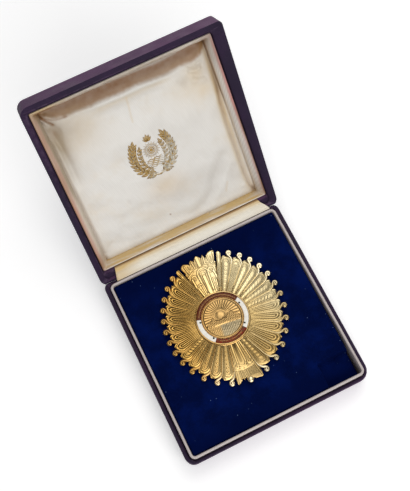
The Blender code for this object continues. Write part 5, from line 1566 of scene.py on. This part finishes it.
def looseSatin(x, y, height):
    # the satin simulated as cloth held at its border and looser in the corners: its change of height in mm
    x, y, height = x[::2, ::2], y[::2, ::2], height[::2, ::2]
    side = len(x)
    cloth = newPiece("looseSatin", pointRows(x, y, height), gridFaces(side, side),
                     scale=mm * looseness["larger"])
    left, right, front, back = x - x.min(), x.max() - x, y - y.min(), y.max() - y
    border = np.minimum.reduce([left, right, front, back])
    corners = [np.hypot(left, front), 0.8 * np.hypot(right, front), 1.6 * np.hypot(left, back),
               1.2 * np.hypot(right, back)]
    corner = np.minimum.reduce(corners)
    low, high = looseness["held"]
    held = np.where(border < 0.5, 1.0, low + (high - low) * smooth(corner, 8.0, 38.0))
    loose = np.maximum(1.0 - smooth(corner, 4.0, 26.0), 0.35 * (1.0 - smooth(front, 6.0, 16.0)))
    for label, weights in (("held", held), ("loose", loose)):
        group = cloth.vertex_groups.new(name=label)
        for index, weight in enumerate(weights.ravel()):
            group.add([index], float(weight), "REPLACE")
    modifier = cloth.modifiers.new("satin", "CLOTH")
    settings = modifier.settings
    settings.vertex_group_mass, settings.vertex_group_shrink = "held", "loose"
    settings.shrink_min, settings.shrink_max = -looseness["slack"][0], -looseness["slack"][1]
    settings.bending_stiffness = looseness["bending"]
    settings.use_pressure = True
    settings.uniform_pressure_force = looseness["pressure"]
    settings.effector_weights.gravity = 0.0
    settings.quality = looseness["quality"]
    modifier.collision_settings.use_self_collision = False
    timeline = bpy.context.scene
    timeline.frame_start = modifier.point_cache.frame_start = 1
    timeline.frame_end = modifier.point_cache.frame_end = looseness["frames"]
    for step in range(1, looseness["frames"] + 1):
        timeline.frame_set(step)
    applyModifiers(cloth)
    settled = np.empty(side * side * 3)
    cloth.data.vertices.foreach_get("co", settled)
    change = settled.reshape(side, side, 3)[..., 2] / (mm * looseness["larger"]) - height
    change = np.clip(change - change.mean(), -looseness["most"], looseness["most"]) * (border > 0.5)
    bpy.data.objects.remove(cloth)
    timeline.frame_set(1)
    finer = np.linspace(0, side - 1, 2 * side - 1)
    change = np.stack([np.interp(finer, np.arange(side), column) for column in change.T], -1)
    change = np.stack([np.interp(finer, np.arange(side), line) for line in change])
    for turn in range(2):
        sums = 4 * change[1:-1, 1:-1] + change[2:, 1:-1] + change[:-2, 1:-1]
        sums = sums + change[1:-1, 2:] + change[1:-1, :-2]
        change[1:-1, 1:-1] = sums / 8
    print("satin ripples", round(float(change.min()), 2), round(float(change.max()), 2))
    return change


across = np.linspace(panelPad["left"], panelPad["right"], panelPad["cells"] + 1)
along = np.linspace(panelPad["front"], panelPad["back"], panelPad["cells"] + 1)
gx, gy = np.meshgrid(across, along, indexing="ij")
n = panelPad["cells"] + 1
ripples = looseSatin(gx, gy, panelSurface(gx, gy))
gz = panelPad["surface"] - panelSurface(gx, gy) - ripples
padPoints, padFaces, border = pointRows(gx, gy, gz), gridFaces(n, n), gridBorder(n, n)
closeGrid(padPoints, padFaces, border, panelPad["behind"])
for k in border:  # the satin's rolled edge presses against the side strips
    x, y, z = padPoints[k]
    x += panelPad["touch"] * ((x > panelPad["right"] - 0.01) - (x < panelPad["left"] + 0.01))
    y += panelPad["touch"] * ((y > panelPad["back"] - 0.01) - (y < panelPad["front"] + 0.01))
    padPoints[k] = (x, y, z)


def gridValue(values, x, y):  # a value of the panel's grid between its points
    i = np.clip((np.asarray(x) - across[0]) / (across[1] - across[0]), 0.0, n - 1.001)
    j = np.clip((np.asarray(y) - along[0]) / (along[1] - along[0]), 0.0, n - 1.001)
    a, b, s, t = i.astype(int), j.astype(int), i % 1.0, j % 1.0
    near = values[a, b] * (1 - s) + values[a + 1, b] * s
    return near * (1 - t) + (values[a, b + 1] * (1 - s) + values[a + 1, b + 1] * s) * t


x, y, z = np.array(padPoints).T
satinPad = lidCloth("lid_satin_panel", padPoints, padFaces, silkPanel, panelMasks(x, y), padPoints)
tidyMesh(satinPad.data, sharp=70.0)
settle(satinPad, "lid", "satin", "lid_satin_pad")


def opened(y, z):  # a place in the closed lid, where it is in the open one
    place = openLid @ Vector((0.0, y * mm, z * mm))
    return place.y / mm, place.z / mm


strip = {
    "thickness": 0.5, "columns": 90, "between": 8, "meanWidth": 0.1115,
    # y, z, left and right in mm: three places in the lid, then four down to the tray's liner
    "inLid": [(58.0, 21.7, -52.8, 53.8), (58.1, 19.9, -53.0, 54.0), (60.9, 19.6, -53.6, 55.5)],
    "overHinge": [(67.7, 20.7, -54.2, 57.0), (65.9, 20.3, -54.7, 58.2), (64.9, 19.95, -54.9, 58.7),
                  (63.95, 19.75, -55.0, 59.0)],
    "blendFrom": (65.2, 20.0),
}
inLid = [opened(y, z) + (left, right) for y, z, left, right in strip["inLid"]]
route = smoothPath(inLid + strip["overHinge"], strip["between"])
stripPoints, stripPlace, stripTan, travelled = [], [], [], 0.0
for level, (y, z, left, right) in enumerate(route):
    if level:
        travelled += math.hypot(y - route[level - 1][0], z - route[level - 1][1])
    arch = math.sin(math.pi * level / (len(route) - 1))
    for column in range(strip["columns"] + 1):
        x = left + (right - left) * column / strip["columns"]
        swell = 0.18 * noiseSpot(x * 0.07, travelled * 0.5, 5.0) * arch
        stripPoints.append((x, y, z + swell))
        stripPlace.append((x, travelled, 0.0))
        # tan, strongest by the gap and fading over about 6 mm, and towards both ends
        tan = max(0.0, 0.80 - travelled * 0.13) + 0.06 * noiseSpot(x * 0.05, travelled * 0.9, 1.0)
        tan += 0.42 * math.exp(-((x + 55.0) / 14.0) ** 2)
        stripTan.append(tan + 0.12 * math.exp(-((x - 57.0) / 9.0) ** 2))
stripFaces = [(a, d, c, b) for a, b, c, d in gridFaces(len(route), strip["columns"] + 1)]
stripPiece = newPiece("hinge_satin_strip", stripPoints, stripFaces, silkStrip)
storeValue(stripPiece.data, "ochreStainAndShade", np.maximum(stripTan, 0.0) * 1.6)
x, down = np.array(stripPlace).T[:2]
storeValue(stripPiece.data, "shade", 0.20 * smooth(down, travelled - 2.6, travelled))
frayed = (1.0 - smooth(x, -54.6, -53.2)) * (0.6 + softNoise(x, down, 1.6, 4.0)).clip(0.0, 1.0)
# painted shadow: a dark line where the strip comes out of the gap; the frayed left end is darker too
storeValue(stripPiece.data, "brownShadeAndStain", np.maximum(0.55 * frayed, 0.80 * (1.0 - smooth(down, 1.7, 2.6))))
storePlace(stripPiece.data, "silkPlace", stripPlace)
thicken(stripPiece, strip["thickness"], 0.0)
tidyMesh(stripPiece.data, sharp=60.0)
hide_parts("hinge_strip")
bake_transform(stripPiece)


# gold foil ornament on the lid's panel: a sun over laurel sprays

print("stage: foil ornament")
foil = {
    "centre": (0.8, -1.2), "lift": 0.09, "thickness": 0.04, "larger": 1.07, "sun": (0.0, 3.0), "rays": 36,
    "gold": (0.56, 0.37, 0.13, 1.0), "dark": (0.22, 0.13, 0.035, 1.0), "silver": (0.62, 0.58, 0.48, 1.0),
}


def foilMaterial(name, look):
    material, tree, shader = newMaterial(name, {"Metallic": 0.75, "Roughness": 0.42})
    place = attributeOf(tree, "foilPlace", "Vector")
    parts = axesOf(tree, place)
    corner = calc(tree, "SUBTRACT", parts["X"], parts["Y"])
    rubbed = times(tree, spread(tree, corner, 1.0, 13.0),
                   spread(tree, noiseAt(tree, place, 0.5, 4.0), 0.36, 0.60))
    colour = blendColours(tree, spread(tree, noiseAt(tree, place, 0.9, 4.0), 0.40, 0.66), look["gold"],
                          look["dark"])
    fill(tree, shader, {"Base Color": blendColours(tree, rubbed, colour, look["silver"])})
    bumpInto(tree, shader, noiseAt(tree, place, 3.0, 3.0), 0.4, 0.04 * mm)
    return material


foilGold = foilMaterial("foilGold", foil)


def strand(line, width, taper=0.0):  # quads along a line, narrower at both ends by the taper share
    line = [np.asarray(spot, float) for spot in line]
    sides = []
    for index, spot in enumerate(line):
        ahead = line[min(index + 1, len(line) - 1)] - line[max(index - 1, 0)]
        side = np.array((-ahead[1], ahead[0])) / (np.linalg.norm(ahead) + 1e-9)
        half = 0.5 * width * (1.0 - taper + taper * math.sin(math.pi * index / (len(line) - 1)))
        sides.append((spot + side * half, spot - side * half))
    return [(a, b, d, c) for (a, b), (c, d) in zip(sides, sides[1:])]


def leaf(x, y, angle, length, width, steps=5):  # two halves beside an open vein, angle in degrees
    ca, sa = math.cos(math.radians(angle)), math.sin(math.radians(angle))
    quads = []
    for half in (-1.0, 1.0):
        rows = []
        for t in np.linspace(0.0, 1.0, steps + 1):
            wide = half * (0.07 + 0.5 * width * math.sin(math.pi * t ** 0.8) ** 0.8 * (1.0 - 0.15 * t))
            rows.append([(x + length * t * ca - side * sa, y + length * t * sa + side * ca)
                         for side in (half * 0.07, wide)])
        quads += [(a, b, d, c) for (a, b), (c, d) in zip(rows, rows[1:])]
    return quads


def spray(side, stem, count, length, width):  # a stem with pairs of leaves, mirrored by side
    path = smoothPath([(side * x, y) for x, y in stem], 8)
    quads = strand(path, 0.42, taper=0.6)
    for index in range(count):
        at = (index + 0.6) / count * (len(path) - 2)
        here, there = path[int(at)], path[int(at) + 1]
        spot = here + (there - here) * (at % 1.0)
        heading = math.degrees(math.atan2(*(there - here)[::-1]))
        size = length * (1.0 - 0.25 * abs(index / count - 0.45))
        for turnBy in (-34.0, 34.0):
            quads += leaf(spot[0], spot[1], heading + turnBy, size, width)
    return quads + leaf(path[-1][0], path[-1][1], heading, length * 0.9, width)


foilQuads = []  # in mm, across and upwards from the ornament's middle
for side in (-1.0, 1.0):
    foilQuads += spray(side, [(0.8, -12.4), (5.4, -11.6), (9.4, -8.6), (11.6, -4.2), (12.3, 0.6), (11.7, 5.0),
                               (10.4, 8.8)], count=11, length=5.2, width=2.1)
    foilQuads += spray(side, [(1.6, -9.3), (4.8, -8.2), (6.9, -5.4), (7.8, -1.8), (7.7, 2.2), (6.9, 5.6)],
                       count=8, length=3.1, width=1.35)
sunX, sunY = foil["sun"]
for index in range(foil["rays"]):
    bearing = math.radians(index * 10.0)
    ray = (2.95, 3.8, 4.7 + 0.8 * (index % 2))
    foilQuads += strand([(sunX + r * math.cos(bearing), sunY + r * math.sin(bearing)) for r in ray], 0.34,
                        taper=0.5)
for radius, steps, width in ((2.45, 40, 0.38), (1.65, 30, 0.60), (0.55, 16, 1.05)):
    foilQuads += strand(arc(sunX, sunY, radius, 0, 360, steps), width)
for index, half in enumerate((5.2, 5.4, 5.2, 4.7, 3.9, 2.8)):
    level = -2.7 - index * 1.0
    wave = [(x, level + 0.28 * math.sin(x * 1.7 + index * 1.3)) for x in np.linspace(-half, half, 22)]
    foilQuads += strand(wave, 0.55, taper=0.5)
foilQuads += strand(smoothPath([(-7.4, -14.0), (-3.6, -12.9), (0.0, -13.8), (3.6, -12.9), (7.4, -14.0)], 6),
                    0.95, taper=0.4)
for turned, long in ((38, 3.6), (64, 4.4), (90, 5.0), (116, 4.4), (142, 3.6)):
    foilQuads += leaf(0.0, 9.0, turned, long, 1.6)

foilFlat = foil["larger"] * np.array(foilQuads).reshape(-1, 2)
foilX, foilY = foil["centre"][0] + foilFlat[:, 0], foil["centre"][1] - foilFlat[:, 1]
foilHeight = gridValue(gz, foilX, foilY) - foil["lift"]
foilFaces = [tuple(range(k * 4, k * 4 + 4)) for k in range(len(foilQuads))]
foilPiece = newPiece("lid_foil_ornament", pointRows(foilX, foilY, foilHeight), foilFaces, foilGold)
storePlace(foilPiece.data, "foilPlace", np.column_stack([foilFlat, foilFlat[:, 0] * 0.0]))
shape = bmesh.new()
shape.from_mesh(foilPiece.data)
shape.normal_update()
for face in shape.faces:
    if face.normal.z > 0:
        face.normal_flip()
bmesh.ops.remove_doubles(shape, verts=shape.verts, dist=2e-6)
shape.to_mesh(foilPiece.data)
shape.free()
foilPiece.data.transform(openLid)
thicken(foilPiece, foil["thickness"], -1.0)
foilPiece.data.shade_smooth()
settle(foilPiece, "lid", "gilt_metal")
print("foil", len(foilPiece.data.polygons))


# the pin keeps its own solid

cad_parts["brooch_pin"].data.materials.clear()
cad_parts["brooch_pin"].data.materials.append(plainGold)


# floor and light

print("stage: floor and light")
paleFloor = newMaterial("paleFloor", {
    "Base Color": (0.93, 0.93, 0.93, 1.0), "Roughness": 0.8, "Specular IOR Level": 0.1,
    "Emission Color": (1.0, 1.0, 1.0, 1.0), "Emission Strength": 0.30})[0]
wide = 1500  # mm each way from the middle
corners = [(-wide, -wide, 0), (wide, -wide, 0), (wide, wide, 0), (-wide, wide, 0)]
newPiece("floor", corners, [(0, 1, 2, 3)], paleFloor)

world = bpy.data.worlds.new("studio")
bpy.context.scene.world = world
world.use_nodes = True
fill(world.node_tree, world.node_tree.nodes["Background"], {"Color": (0.92, 0.95, 1.0, 1.0), "Strength": 0.22})

lights = [
    {"name": "front", "place": (0.02, -0.98, 0.74), "aim": (0.0, 0.08, 0.05),
     "size": 1.30, "power": 8.8, "colour": (1.0, 0.99, 0.98)},
    {"name": "upper right", "place": (0.44, 0.66, 1.03), "aim": (0.0, 0.0, 0.03),
     "size": 1.30, "power": 4.8, "colour": (1.0, 0.99, 0.97)},
    {"name": "overhead", "place": (0.06, 0.06, 1.20), "aim": (0.0, 0.05, 0.05),
     "size": 1.20, "power": 3.5, "colour": (1.0, 0.98, 0.95)},
]
for lamp in lights:
    data = bpy.data.lights.new(lamp["name"], "AREA")
    data.shape = "DISK"
    data.size = lamp["size"]
    data.energy = lamp["power"]
    data.color = lamp["colour"]
    holder = newObject(lamp["name"], data)
    toward = Vector(lamp["aim"]) - Vector(lamp["place"])
    turn = toward.to_track_quat("-Z", "Y").to_matrix().to_4x4()
    holder.matrix_world = Matrix.Translation(lamp["place"]) @ turn

bpy.context.scene.view_settings.view_transform = "Standard"
bpy.context.scene.view_settings.look = "None"
bpy.context.scene.view_settings.exposure = 0.0
